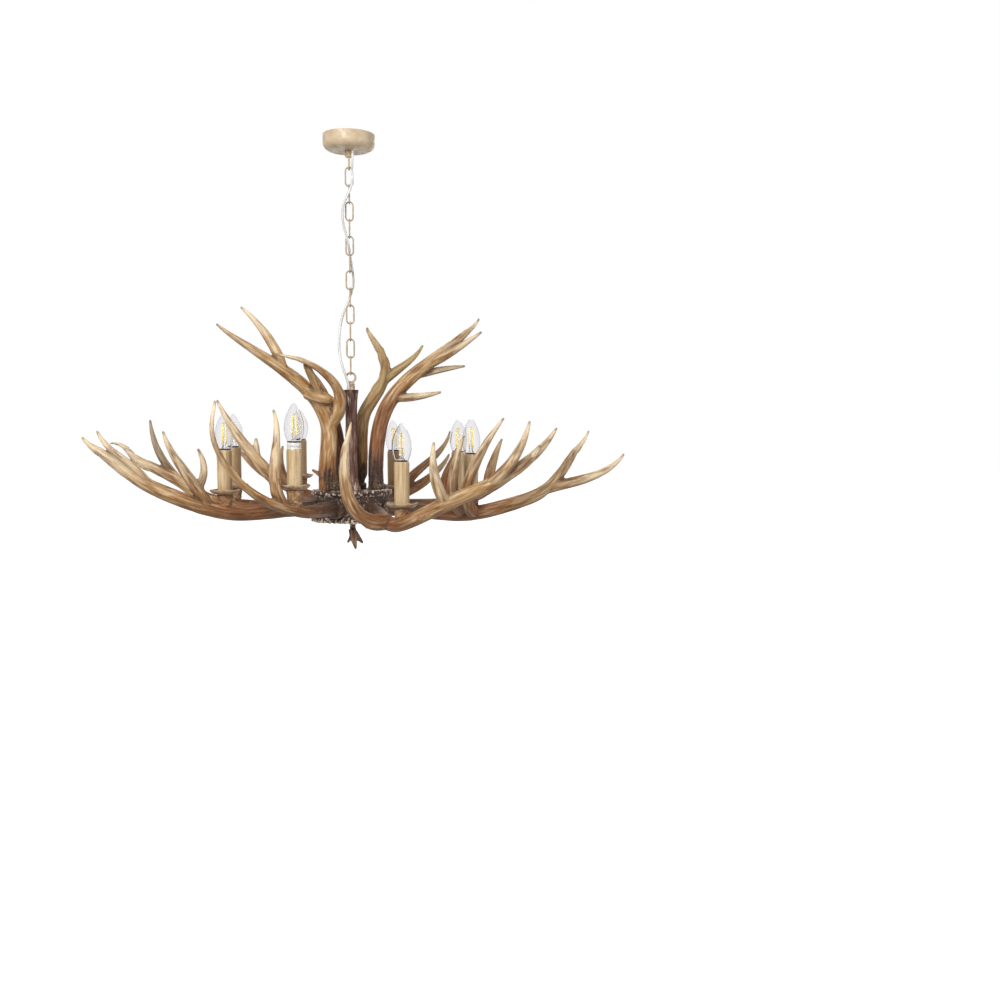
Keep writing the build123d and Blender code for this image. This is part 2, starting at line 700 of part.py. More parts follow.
def lampholder():
    """A slim stem on the tube's end that opens into the socket; its foot is at the origin."""
    with BuildPart() as holder:
        with BuildSketch(Plane.XZ):
            with BuildLine():
                Polyline(
                    (0, 0),
                    (HOLDER_STEM_R, 0),
                    (HOLDER_STEM_R, CANDLE - HOLDER_CUP - 6),
                    (HOLDER_R, CANDLE - HOLDER_CUP),
                    (HOLDER_R, CANDLE),
                    (SOCKET_R, CANDLE),
                    (SOCKET_R, CANDLE - SOCKET_DEPTH),
                    (0, CANDLE - SOCKET_DEPTH),
                    close=True,
                )
            make_face()
        revolve(axis=Axis.Z)
        chamfer(holder.edges().group_by(Axis.Z)[-1].sort_by(SortBy.LENGTH)[-1], length=0.8)
        with BuildSketch():
            Circle(ARM_TUBE_R + FIT)
        extrude(amount=HOLDER_SOCKET, mode=Mode.SUBTRACT)
        with BuildSketch():
            Circle(ARM_TUBE_BORE_R)
        extrude(amount=FLEX_TOP, mode=Mode.SUBTRACT)
    return holder.part


def sleeve(height):
    """The card candle tube round a lampholder."""
    with BuildPart() as tube:
        with BuildSketch():
            Circle(SLEEVE_R)
            Circle(SLEEVE_BORE_R, mode=Mode.SUBTRACT)
        extrude(amount=height)
    return tube.part


def candle_egg(inset):
    """A solid of the bulb's outline: three tangent arcs from its neck over its belly to its tip."""
    neck_r, girth, tip_r = BULB_NECK_R - inset, BULB_R - inset, BULB_TIP_R - inset
    drop = BULB_BELLY - BULB_COLLAR_TOP
    rise = BULB_HEIGHT - BULB_TIP_R - BULB_BELLY
    lower_r = ((girth - neck_r) ** 2 + drop**2) / (2 * (girth - neck_r))
    upper_r = (girth**2 + rise**2 - tip_r**2) / (2 * (girth - tip_r))
    reach = upper_r / (upper_r - tip_r)
    shoulder = (girth - upper_r + reach * (upper_r - girth), BULB_BELLY + reach * rise)
    with BuildPart() as egg:
        with BuildSketch(Plane.XZ):
            with BuildLine():
                lower = RadiusArc((neck_r, BULB_COLLAR_TOP), (girth, BULB_BELLY), -lower_r)
                upper = RadiusArc(lower @ 1, shoulder, -upper_r)
                tip = RadiusArc(upper @ 1, (0, BULB_HEIGHT - inset), -tip_r)
                Polyline(tip @ 1, (0, BULB_COLLAR_TOP), lower @ 0)
            make_face()
        revolve(axis=Axis.Z)
    return egg.part


def bulb_glass():
    """The clear envelope, open at its neck; the origin is at the lampholder's rim."""
    with BuildPart() as glass:
        add(candle_egg(0))
        add(candle_egg(BULB_GLASS), mode=Mode.SUBTRACT)
    return glass.part


def bulb_core():
    """The screw cap, the collar under the glass, and the stem with its four filaments."""
    with BuildPart() as core:
        with BuildSketch(Plane.XZ):
            with BuildLine():
                Polyline(
                    (0, -CAP_LENGTH),
                    (2.5, -CAP_LENGTH),
                    (CAP_R, 4 - CAP_LENGTH),
                    (CAP_R, BULB_COLLAR),
                    (BULB_NECK_R, BULB_COLLAR),
                    (BULB_NECK_R, BULB_COLLAR_TOP),
                    (STEM_R, BULB_COLLAR_TOP),
                    (STEM_R, FILAMENT_BASE),
                    (FILAMENT_RING_R + 2 * FILAMENT_R, FILAMENT_BASE),
                    (FILAMENT_RING_R + 2 * FILAMENT_R, FILAMENT_BASE + 1),
                    (0, FILAMENT_BASE + 1),
                    close=True,
                )
            make_face()
        revolve(axis=Axis.Z)
        with BuildSketch(Plane.XY.offset(FILAMENT_BASE + 1)):
            with PolarLocations(FILAMENT_RING_R, 4, start_angle=45):
                Circle(FILAMENT_R)
        extrude(amount=FILAMENT)
    return core.part


cup, holder, glass, core = drip_cup(), lampholder(), bulb_glass(), bulb_core()
feet = [(x, y, foot) for x, y, foot, _, _ in LIGHTS.values()]
with BuildPart() as drip_cups:
    with Locations(*feet):
        add(cup)
finish(drip_cups.part, "drip_cups")
with BuildPart() as lampholders:
    with Locations(*feet):
        add(holder)
finish(lampholders.part, "lampholders")

for arm, (x, y, foot, _, shows) in LIGHTS.items():
    candle = sleeve(CANDLE - shows)
    finish(candle.moved(Location((x, y, foot))), f"candle_sleeve_{arm}")
    finish(glass.moved(Location((x, y, foot + CANDLE))), f"bulb_glass_{arm}")
    finish(core.moved(Location((x, y, foot + CANDLE))), f"bulb_core_{arm}")
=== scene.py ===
"""Antler chandelier, dressed: eight candle lights on cast antlers, hung on a chain.

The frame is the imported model's: metres, +Z up, with the origin on the ceiling, on the canopy's
axis. Sizes are written in millimetres, and MM turns them into metres. The sections follow the lamp
as it is put together, from the ceiling down.
"""

import json
import math
import random
from types import SimpleNamespace

import bmesh
import bpy
import numpy as np
from mathutils import Matrix, Vector

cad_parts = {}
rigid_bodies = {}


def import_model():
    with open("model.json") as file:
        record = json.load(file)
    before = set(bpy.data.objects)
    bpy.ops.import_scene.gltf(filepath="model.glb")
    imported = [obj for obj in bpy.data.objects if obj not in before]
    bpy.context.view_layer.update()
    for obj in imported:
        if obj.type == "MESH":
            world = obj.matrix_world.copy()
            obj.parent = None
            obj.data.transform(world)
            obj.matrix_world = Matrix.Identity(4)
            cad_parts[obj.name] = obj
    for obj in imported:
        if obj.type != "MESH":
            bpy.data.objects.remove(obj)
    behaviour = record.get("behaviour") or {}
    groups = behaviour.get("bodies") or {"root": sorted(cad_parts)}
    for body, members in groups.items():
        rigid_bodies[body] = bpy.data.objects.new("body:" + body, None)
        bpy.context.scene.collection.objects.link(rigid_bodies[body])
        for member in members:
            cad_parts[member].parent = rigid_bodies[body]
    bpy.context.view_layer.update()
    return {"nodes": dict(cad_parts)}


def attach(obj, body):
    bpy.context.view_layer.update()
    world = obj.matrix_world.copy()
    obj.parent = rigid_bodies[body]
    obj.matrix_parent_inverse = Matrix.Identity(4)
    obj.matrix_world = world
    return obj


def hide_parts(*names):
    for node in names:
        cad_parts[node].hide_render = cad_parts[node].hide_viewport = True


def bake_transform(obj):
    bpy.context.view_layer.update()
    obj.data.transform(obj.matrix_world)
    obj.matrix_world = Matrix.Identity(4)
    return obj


for spare in list(bpy.data.objects):
    bpy.data.objects.remove(spare)
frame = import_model()
MM = 0.001

# ---- camera -----------------------------------------------------------------------------------
# The photograph was taken level with the chandelier's upper antlers, a little over two metres in
# front of it and turned to its right, so that the lamp stands at the upper left of the frame.

CAMERA_PLACE = (0.0, -2.2, -0.565)
CAMERA_DIP = math.radians(3.66)
CAMERA_TURN = math.radians(7.61)
CAMERA_LENS = 40.0
SENSOR = 36.0

lens = bpy.data.cameras.new("photo_camera")
lens.lens = CAMERA_LENS
lens.sensor_width = SENSOR
camera = bpy.data.objects.new("photo_camera", lens)
camera.location = CAMERA_PLACE
camera.rotation_euler = (math.pi / 2 - CAMERA_DIP, 0, -CAMERA_TURN)
bpy.context.scene.collection.objects.link(camera)
bpy.context.scene.camera = camera

# ---- supply cord ------------------------------------------------------------------------------
# One clear PVC flex, 5 mm thick, from the canopy's floor down the chain into the post. It is made
# as two pieces that meet end to end in the middle of the chain: the upper runs from the canopy to
# the chain, and the lower from the chain to the fixture.

CORD_DIAMETER = 5
CORD_SIDES = 16
CORD_UPPER = [
    (7, -13, -26), (7, -13, -44), (6, -9, -64), (6, -8, -84), (4, -13, -101), (-4, -13, -118),
    (-12, -11, -135), (-14, -8, -153), (-12, -8, -171), (-7, -6, -189), (-3, -2, -204), (-1, 5, -217),
    (1, 13, -231), (4, 14, -248),
]
CORD_LOWER = [
    (7, 14, -268), (6, 14, -289), (-1, 14, -309), (-8, 12, -327), (-15, 8, -345), (-20, 5, -366),
    (-22, 3, -389), (-22, -1, -411), (-19, -5, -433), (-13, -9, -453), (-7, -11, -469),
    (-4.5, -10, -482), (-4.5, -10, -494),
]


class Term:
    """One result in a node tree. Terms add, multiply and so on like numbers, by Math nodes."""

    def __init__(self, socket):
        self.socket = socket
        self.tree = socket.id_data

    def __add__(self, other):
        return maths("ADD", self, other)

    def __sub__(self, other):
        return maths("SUBTRACT", self, other)

    def __rsub__(self, other):
        return maths("SUBTRACT", other, self)

    def __mul__(self, other):
        return maths("MULTIPLY", self, other)

    def __truediv__(self, other):
        return maths("DIVIDE", self, other)

    def __rtruediv__(self, other):
        return maths("DIVIDE", other, self)

    def clipped(self):
        """The term held between 0 and 1."""
        return maths("ADD", self, 0.0, use_clamp=True)

    def step(self, low, high):
        """0 below the low value, 1 above the high one, and smooth between."""
        return add(self.tree, "ShaderNodeMapRange", {"Value": self, "From Min": low, "From Max": high},
                   "Result", interpolation_type="SMOOTHSTEP")


def add(tree, kind, wires=None, out=0, **settings):
    """Add a node with its settings, and values or terms on its inputs. Gives one of its outputs."""
    made = tree.nodes.new(kind)
    for name, value in settings.items():
        setattr(made, name, value)
    for name, value in (wires or {}).items():
        if isinstance(value, Term):
            tree.links.new(value.socket, made.inputs[name])
        else:
            made.inputs[name].default_value = value
    return Term(made.outputs[out])


def maths(operation, a, b=0.0, **settings):
    """The result of one Math node, where at least one side is a term."""
    tree = (a if isinstance(a, Term) else b).tree
    return add(tree, "ShaderNodeMath", {0: a, 1: b}, operation=operation, **settings)


def ramp(value, stops):
    """A colour ramp over a value, with a colour at each place."""
    made = add(value.tree, "ShaderNodeValToRGB", {0: value})
    band = made.socket.node.color_ramp
    while len(band.elements) < len(stops):
        band.elements.new(0.5)
    for element, (place, colour) in zip(band.elements, stops.items()):
        element.position = place
        element.color = (*colour, 1)
    return made


def blend(factor, a, b, mode="MIX"):
    """One colour laid over another, each a term or three numbers."""
    tree = next(part for part in (factor, a, b) if isinstance(part, Term)).tree
    a, b = (colour if isinstance(colour, Term) else (*colour, 1) for colour in (a, b))
    return add(tree, "ShaderNodeMix", {0: factor, 6: a, 7: b}, 2, data_type="RGBA", blend_type=mode)


def settle(sockets, results):
    """Join results to the sockets of the same names, at the end of a tree."""
    for label, term in results.items():
        term.tree.links.new(term.socket, sockets[label])


def finish_material(name, sockets, **constants):
    """A material with one Principled shader; sockets is a function that gives what varies."""
    made = bpy.data.materials.new(name)
    made.use_nodes = True
    shader = made.node_tree.nodes["Principled BSDF"].inputs
    for socket, value in constants.items():
        shader[socket.replace("_", " ")].default_value = value
    settle(shader, sockets(made.node_tree))
    return made


def new_group(name, kind, inputs, outputs):
    """A node group: inputs by their defaults, or by their kind where they have none, and outputs."""
    group = bpy.data.node_groups.new(name, kind)
    kinds = {float: "Float", int: "Int", tuple: "Color"}
    for label, value in inputs.items():
        plain = isinstance(value, str)
        made = group.interface.new_socket(
            label, in_out="INPUT", socket_type="NodeSocket" + (value if plain else kinds[type(value)]))
        if not plain:
            made.default_value = (*value, 1) if isinstance(value, tuple) else value
    for label, value in outputs.items():
        group.interface.new_socket(label, in_out="OUTPUT", socket_type="NodeSocket" + value)
    given = {socket.name: Term(socket) for socket in group.nodes.new("NodeGroupInput").outputs if socket.name}
    return group, given, group.nodes.new("NodeGroupOutput").inputs


def use_group(tree, group, **values):
    """Place a shader group in a material with its own values; its results, by name."""
    made = add(tree, "ShaderNodeGroup", node_tree=group).socket.node
    for label, value in values.items():
        value = (*value, 1) if isinstance(value, tuple) else value
        made.inputs[label.replace("_", " ")].default_value = value
    return {socket.name: Term(socket) for socket in made.outputs}


def noise(where, scale, detail):
    """Noise between 0 and 1 over places."""
    return add(where.tree, "ShaderNodeTexNoise", {"Vector": where, "Scale": scale, "Detail": detail}, "Fac")


def put(name, mesh, material, smooth=True):
    """Show a mesh as an object with its material."""
    made = bpy.data.objects.new(name, mesh)
    bpy.context.scene.collection.objects.link(made)
    if material is not None:
        mesh.materials.clear()
        mesh.materials.append(material)
    if smooth:
        mesh.polygons.foreach_set("use_smooth", [True] * len(mesh.polygons))
    return made


# Dust and small uneven patches, shared by most of the finishes
patches, given, out = new_group(
    "patches", "ShaderNodeTree", {"Size": 0.01, "Low": 0.4, "High": 0.6}, {"Mask": "Float"})
spread = noise(add(patches, "ShaderNodeTexCoord", out="Object"), 1.0 / given["Size"], 5.0)
settle(out, {"Mask": spread.step(given["Low"], given["High"])})


def patch(tree, size, low, high):
    """Patches of about a size, in millimetres, between two levels of the noise."""
    return use_group(tree, patches, Size=size * MM, Low=low, High=high)["Mask"]


def cord_sockets(tree):
    """Clear flex: the twisted wires inside show as a faint, long slanting band."""
    coat = add(tree, "ShaderNodeUVMap")
    twist = add(tree, "ShaderNodeTexWave", {"Vector": coat, "Scale": 0.12, "Distortion": 0.4}, "Fac",
                bands_direction="DIAGONAL")
    wires = ramp(twist, {0.0: (0.56, 0.55, 0.53), 1.0: (0.68, 0.67, 0.65)})
    return {"Base Color": wires, "Roughness": patch(tree, 20, 0.35, 0.75) * 0.18 + 0.16}


cord_clear = finish_material("cord_clear", cord_sockets, Coat_Weight=0.4)


def shell_of(name, rings, loop=False, caps=False):
    """A mesh over rings of points. A ring may be one point; the last may join the first."""
    mesh = bpy.data.meshes.new(name)
    shell = bmesh.new()
    rows = [[shell.verts.new(point) for point in ring] for ring in rings]
    for low, high in zip(rows, rows[1:] + rows[:loop]):
        steps = max(len(low), len(high))
        for k in range(steps if steps > 1 else 0):
            n = (k + 1) % steps
            corners = (low[k % len(low)], low[n % len(low)], high[n % len(high)], high[k % len(high)])
            shell.faces.new(list(dict.fromkeys(corners)))
    for row in (rows[0], rows[-1]) if caps else ():
        shell.faces.new(row)
    bmesh.ops.recalc_face_normals(shell, faces=shell.faces)
    shell.to_mesh(mesh)
    shell.free()
    return mesh


def tube_mesh(name, path, radius, sides):
    """A closed tube along close points, with a UV map that runs round it and along it."""
    rings, runs, side = [], [], None
    for i, centre in enumerate(path):
        ahead = (path[min(i + 1, len(path) - 1)] - path[max(i - 1, 0)]).normalized()
        side = side or ahead.orthogonal()
        side = (side - ahead * ahead.dot(side)).normalized()
        up = ahead.cross(side)
        turns = [2 * math.pi * k / sides for k in range(sides)]
        rings.append([centre + (side * math.cos(t) + up * math.sin(t)) * radius for t in turns])
        runs.append(runs[-1] + (centre - path[i - 1]).length if i else 0.0)
    mesh = shell_of(name, rings, caps=True)
    layer = mesh.uv_layers.new(name="UVMap", do_init=False)
    for face in mesh.polygons[:-2]:
        for corner in face.loop_indices:
            ring, turn = divmod(mesh.loops[corner].vertex_index, sides)
            turn += sides * (turn == 0 and face.index % sides == sides - 1)
            layer.data[corner].uv = (turn / sides, runs[ring] * 100)
    return mesh


def cord_line(name, points):
    """The cord's smooth line: a NURBS spline on the route's own points."""
    curve = bpy.data.curves.new(name, "CURVE")
    curve.dimensions = "3D"
    curve.resolution_u = 12
    spline = curve.splines.new("NURBS")
    spline.points.add(len(points) - 1)
    for point, place in zip(spline.points, points):
        point.co = (*(c * MM for c in place), 1)
    spline.order_u = 3
    spline.use_endpoint_u = True
    holder = bpy.data.objects.new(name, curve)
    bpy.context.scene.collection.objects.link(holder)
    line = bpy.data.meshes.new_from_object(holder)
    path = [v.co.copy() for v in line.vertices]
    bpy.data.objects.remove(holder)
    bpy.data.meshes.remove(line)
    return path


cord_joint = tuple((a + b) / 2 for a, b in zip(CORD_UPPER[-1], CORD_LOWER[0]))
for name, points, bodies, ends in (
    ("supply_cord_upper", [*CORD_UPPER, cord_joint], ("canopy", "chain"), (-0.030, -0.100)),
    ("supply_cord_lower", [cord_joint, *CORD_LOWER], ("chain", "fixture"), (-0.425, -0.486)),
):
    path = cord_line(name, points)
    cord = put(name, tube_mesh(name, path, CORD_DIAMETER / 2 * MM, CORD_SIDES), cord_clear)
    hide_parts("supply_cord")
    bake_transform(cord)

# ---- canopy -----------------------------------------------------------------------------------
# A spun steel cup over the ceiling bracket, painted antique cream gold, with the loop that the
# chain hangs on screwed to its nipple. It closes the wiring in against the ceiling.

CANOPY_R = 50
CANOPY_DEPTH = 30
CANOPY_SHOULDER_R = 14
CANOPY_WALL = 1.5
NIPPLE_R = 5.1
RING_STEPS = 72
LOOP_WIRE_R = 2
CANOPY_LOOP_R = 11
CANOPY_RING_Z = -54.1
SHANK_R = 8

# Bare spots on worn edges, and grime in the hollows, for painted metal and resin
wear, given, out = new_group(
    "edge_wear", "ShaderNodeTree", {"Edge": 0.55, "Hollow": 0.46, "Grain": 0.004},
    {"Worn": "Float", "Grime": "Float"})
uneven = noise(add(wear, "ShaderNodeTexCoord", out="Object"), 1.0 / given["Grain"], 4.0)
shaken = uneven * 0.10 + (add(wear, "ShaderNodeNewGeometry", out="Pointiness") - 0.05)
settle(out, {"Worn": ((shaken - given["Edge"]) * 14.0).clipped(),
             "Grime": ((given["Hollow"] - shaken) * 9.0).clipped()})


def bump(height, strength, distance):
    """A bump normal from a height, with its distance in millimetres."""
    wires = {"Height": height, "Strength": strength, "Distance": distance * MM}
    return add(height.tree, "ShaderNodeBump", wires)


def cream_gold(paint, shade, bare):
    """Painted steel in antique cream: bare, warmer metal on the edges and brown in the hollows."""
    def sockets(tree):
        spots = use_group(tree, wear, Edge=0.545, Hollow=0.47, Grain=0.003)
        cloud = patch(tree, 12, 0.35, 0.7)
        coat = blend(cloud * 0.55, paint, shade)
        coat = blend(spots["Grime"], coat, (0.11, 0.065, 0.035))
        fine = noise(add(tree, "ShaderNodeTexCoord", out="Object"), 900.0, 2.0)
        return {"Base Color": blend(spots["Worn"] * 0.7, coat, bare), "Roughness": cloud * 0.22 + 0.34,
                "Metallic": spots["Worn"] * 0.6, "Normal": bump(fine, 0.25, 0.3)}
    return sockets


canopy_paint = finish_material(
    "canopy_paint", cream_gold((0.60, 0.47, 0.31), (0.44, 0.31, 0.18), (0.66, 0.50, 0.28)))
chain_paint = finish_material(
    "chain_paint", cream_gold((0.49, 0.37, 0.25), (0.29, 0.19, 0.11), (0.60, 0.45, 0.27)))


def plain_sockets(colour, aged, rough, change, size, levels=(0.3, 0.7)):
    """A plain finish that goes to an aged colour in patches, where its gloss changes too."""
    def sockets(tree):
        cloud = patch(tree, size, *levels)
        return {"Base Color": blend(cloud, colour, aged), "Roughness": cloud * change + rough}
    return sockets


zinc = finish_material("zinc", plain_sockets(
    (0.50, 0.51, 0.52), (0.62, 0.61, 0.58), 0.26, 0.2, 6), Metallic=1.0)
white_plastic = finish_material("white_plastic", plain_sockets(
    (0.74, 0.74, 0.71), (0.63, 0.61, 0.55), 0.28, 0.12, 10, (0.3, 0.75)), Coat_Weight=0.2)


def arc(centre_r, centre_z, radius, start, stop, steps):
    """Points of an arc of a lathe's outline, from one angle to another in degrees."""
    turns = [math.radians(start + (stop - start) * i / steps) for i in range(steps + 1)]
    return [(centre_r + radius * math.cos(t), centre_z + radius * math.sin(t)) for t in turns]


def circle(radius, height, steps, centre=(0, 0)):
    """A level circle of points, in metres; the radius may be one number or one for each point."""
    turns = 2 * math.pi * np.arange(steps) / steps
    x, y = centre[0] + radius * np.cos(turns), centre[1] + radius * np.sin(turns)
    return np.stack([x, y, np.full(steps, float(height))], axis=1) * MM


def lathe(name, outline, steps=RING_STEPS, centre=(0, 0), closed=True):
    """Turn an outline of (radius, height) round a standing axis. Points on the axis close it."""
    rings = [circle(r, z, steps if round(r, 6) else 1, centre) for r, z in outline]
    return shell_of(name, rings, loop=closed)


def wire_ring(height, turn, radius):
    """A loop's wire ring, hanging in the chain's line."""
    mesh = lathe("ring", arc(radius, 0, LOOP_WIRE_R, 0, 360, 20)[:-1])
    mesh.transform(Matrix.Translation((0, 0, height * MM)) @ Matrix.Rotation(math.pi / 2, 4, turn))
    return mesh


def joined(name, meshes, material):
    """One object from several meshes, which are used up."""
    shell = bmesh.new()
    for mesh in meshes:
        shell.from_mesh(mesh)
        bpy.data.meshes.remove(mesh)
    whole = bpy.data.meshes.new(name)
    shell.to_mesh(whole)
    shell.free()
    return put(name, whole, material)


def bake_modifiers(piece):
    """Turn a piece with its modifiers into a plain mesh."""
    graph = bpy.context.evaluated_depsgraph_get()
    mesh = bpy.data.meshes.new_from_object(piece.evaluated_get(graph), preserve_all_data_layers=True,
                                           depsgraph=graph)
    piece.modifiers.clear()
    piece.data = mesh
    return piece


def soften(piece):
    """Bevel a piece's sharp edges, then keep it as a plain mesh with smooth faces."""
    edge = piece.modifiers.new("soften", "BEVEL")
    edge.width = 0.3 * MM
    edge.segments = 2
    edge.limit_method = "ANGLE"
    edge.angle_limit = math.radians(40)
    edge.harden_normals = True
    return bake_modifiers(piece)


def fit(piece, body, slot, *nodes):
    """Fasten a piece to its body and hide the solids that it stands for; its slot is not used."""
    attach(piece, body)
    if nodes:
        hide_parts(*nodes)


shoulder, low = CANOPY_R - CANOPY_SHOULDER_R, CANOPY_SHOULDER_R - CANOPY_DEPTH
canopy = put("canopy_cup", lathe(
    "canopy_cup",
    [(CANOPY_R - CANOPY_WALL, 0), (CANOPY_R - 0.4, 0), (CANOPY_R, -0.4)]
    + arc(shoulder, low, CANOPY_SHOULDER_R, 0, -90, 14)
    + [(20, -CANOPY_DEPTH), (NIPPLE_R, -CANOPY_DEPTH), (NIPPLE_R, CANOPY_WALL - CANOPY_DEPTH)]
    + arc(shoulder, low, CANOPY_SHOULDER_R - CANOPY_WALL, -90, 0, 14), 96), canopy_paint)
fit(soften(canopy), "canopy", "antique_metal", "ceiling_canopy")

# The cord passes the canopy's floor in a small bushing
bushing = put("cord_bushing", lathe("cord_bushing", [
    (2.7, 3 - CANOPY_DEPTH), (4.2, 2.4 - CANOPY_DEPTH), (4.2, -1 - CANOPY_DEPTH), (3.6, -2.6 - CANOPY_DEPTH),
    (2.7, -2.8 - CANOPY_DEPTH)], 32, CORD_UPPER[0][:2]), white_plastic)
fit(bushing, "canopy", "connector_nylon")

shank_z = CANOPY_RING_Z + CANOPY_LOOP_R
loop = joined("canopy_loop", [
    wire_ring(CANOPY_RING_Z, "Y", CANOPY_LOOP_R),
    lathe("shank", [
        (0, shank_z), (SHANK_R - 3, shank_z), (SHANK_R, shank_z + 2.5), (SHANK_R, shank_z + 5),
        (SHANK_R - 0.8, shank_z + 5.6), (SHANK_R, shank_z + 6.2), (SHANK_R, -CANOPY_DEPTH - 0.4),
        (SHANK_R - 0.4, -CANOPY_DEPTH), (0, -CANOPY_DEPTH)], 48, closed=False)], canopy_paint)
fit(loop, "canopy", "antique_metal", "canopy_loop")

# ---- chain ------------------------------------------------------------------------------------
# Twelve oval links bent from 3 mm steel wire, each closed by a weld at the middle of one side,
# painted as the canopy is. Every second link is turned a quarter round.

LINK = {"Wire": 1.5 * MM, "Length": 39 * MM, "Width": 17 * MM, "Pitch": 32.9 * MM, "Count": 12,
        "Weld": 0.22 * MM}
CHAIN_TOP = -60 * MM
WELD_REACH = 2.2 * MM


def dress(out, shape, finish):
    """End a geometry tree: the shape in its finish."""
    dressed = add(shape.tree, "GeometryNodeSetMaterial", {"Geometry": shape, "Material": finish})
    settle(out, {"Geometry": dressed})


def link_tree():
    """One oval of wire, swept, welded and set out down the chain by quarter turns."""
    tree, given, out = new_group(
        "chain_of_links", "GeometryNodeTree", {"Geometry": "Geometry", **LINK, "Paint": "Material"},
        {"Geometry": "Geometry"})
    wire = given["Wire"]
    wide = given["Width"] - wire * 2.0
    line = add(tree, "GeometryNodeCurvePrimitiveQuadrilateral",
               {"Width": wide, "Height": given["Length"] - wire * 2.0})
    oval = add(tree, "GeometryNodeFilletCurve", {"Curve": line, "Radius": wide * 0.4999, "Count": 12},
               mode="POLY")
    spaced = add(tree, "GeometryNodeResampleCurve", {"Curve": oval, "Count": 72})
    place = add(tree, "GeometryNodeInputPosition")
    x, y = (add(tree, "ShaderNodeSeparateXYZ", {0: place}, way) for way in "XY")
    near = y / WELD_REACH
    swell = maths("POWER", 2.718, near * near * -1.0)
    thick = swell * maths("GREATER_THAN", x, 0.0) * given["Weld"] + wire
    girth = add(tree, "GeometryNodeCurvePrimitiveCircle", {"Resolution": 14, "Radius": 1.0})
    sized = add(tree, "GeometryNodeSetCurveRadius", {"Curve": spaced, "Radius": thick})
    swept = add(tree, "GeometryNodeCurveToMesh", {"Curve": sized, "Profile Curve": girth, "Scale": thick})
    smooth = add(tree, "GeometryNodeSetShadeSmooth", {"Geometry": swept})
    upright = add(tree, "GeometryNodeTransform", {"Geometry": smooth, "Rotation": (math.pi / 2, 0, 0)})
    start = add(tree, "ShaderNodeCombineXYZ", {"Z": given["Length"] * -0.5 + CHAIN_TOP})
    drop = add(tree, "ShaderNodeCombineXYZ", {"Z": given["Pitch"] * -1.0})
    places = add(tree, "GeometryNodeMeshLine", {
        "Count": given["Count"], "Start Location": start, "Offset": drop}, mode="OFFSET")
    turned = add(tree, "ShaderNodeCombineXYZ", {"Z": add(tree, "GeometryNodeInputIndex") * (math.pi / 2)})
    links = add(tree, "GeometryNodeInstanceOnPoints", {
        "Points": places, "Instance": upright, "Rotation": turned})
    dress(out, add(tree, "GeometryNodeRealizeInstances", {"Geometry": links}), given["Paint"])
    return tree


def grow(piece, tree, **values):
    """Run a geometry tree on a piece with its named inputs, and keep the result as a plain mesh."""
    modifier = piece.modifiers.new(tree.name, "NODES")
    modifier.node_group = tree
    sockets = {item.name.replace(" ", "_"): item.identifier for item in tree.interface.items_tree
               if item.in_out == "INPUT"}
    for label, value in values.items():
        modifier[sockets[label]] = value
    return bake_modifiers(piece)


chain = put("chain_links", bpy.data.meshes.new("chain_links"), None)
chain = grow(chain, link_tree(), Paint=chain_paint, **LINK)
fit(chain, "chain", "antique_metal", "chain_links_flat", "chain_links_edge")

# ---- fixture loop -----------------------------------------------------------------------------
# A cast loop with a ribbed collar, screwed on the top end of the threaded tube above a nut. The
# whole fixture hangs on it.

FIXTURE_LOOP_R = 9
FIXTURE_RING_Z = -464.8
POST_TOP = -489
NUT_HEIGHT = 5

low, top = POST_TOP + NUT_HEIGHT, FIXTURE_RING_Z - FIXTURE_LOOP_R + LOOP_WIRE_R / 2
fixture_loop = joined("fixture_loop", [
    wire_ring(FIXTURE_RING_Z, "X", FIXTURE_LOOP_R),
    lathe("collar", [
        (0, low), (SHANK_R - 0.5, low), (SHANK_R, low + 0.5), (SHANK_R, low + 2.6),
        (SHANK_R - 1.3, low + 3.2), (SHANK_R - 1.3, low + 3.8), (SHANK_R - 0.2, low + 4.4),
        (SHANK_R - 0.4, low + 7.0),
        (SHANK_R - 2.6, top - 1.2), (SHANK_R - 4.2, top), (0, top)], 48, closed=False)], chain_paint)
fit(fixture_loop, "fixture", "antique_metal", "fixture_loop")

# ---- centre post ------------------------------------------------------------------------------
# A resin casting of a straight shaft of antler, nearly black with red-brown ridges, threaded over
# the steel tube between the loop's nut and the hub. Its grooves run from end to end.

HUB_TOP = -685
POST_BORE_R = 5.5
VOXEL = 1.3 * MM
STATIONS = 140
TIP_R = 2 * MM
WORN_POINT = 11 * MM
SMOOTH_TIP = 70 * MM
BURR_REACH = 45 * MM
BURIED_END = 200 * MM
ARM_LEVEL = -705
HUB_WALL = (79 * MM, 83 * MM)


def vector(operation, a, b):
    """The result of one Vector Math node that starts with a term."""
    side = "Scale" if operation == "SCALE" else 1
    return add(a.tree, "ShaderNodeVectorMath", {0: a, side: b}, operation=operation)


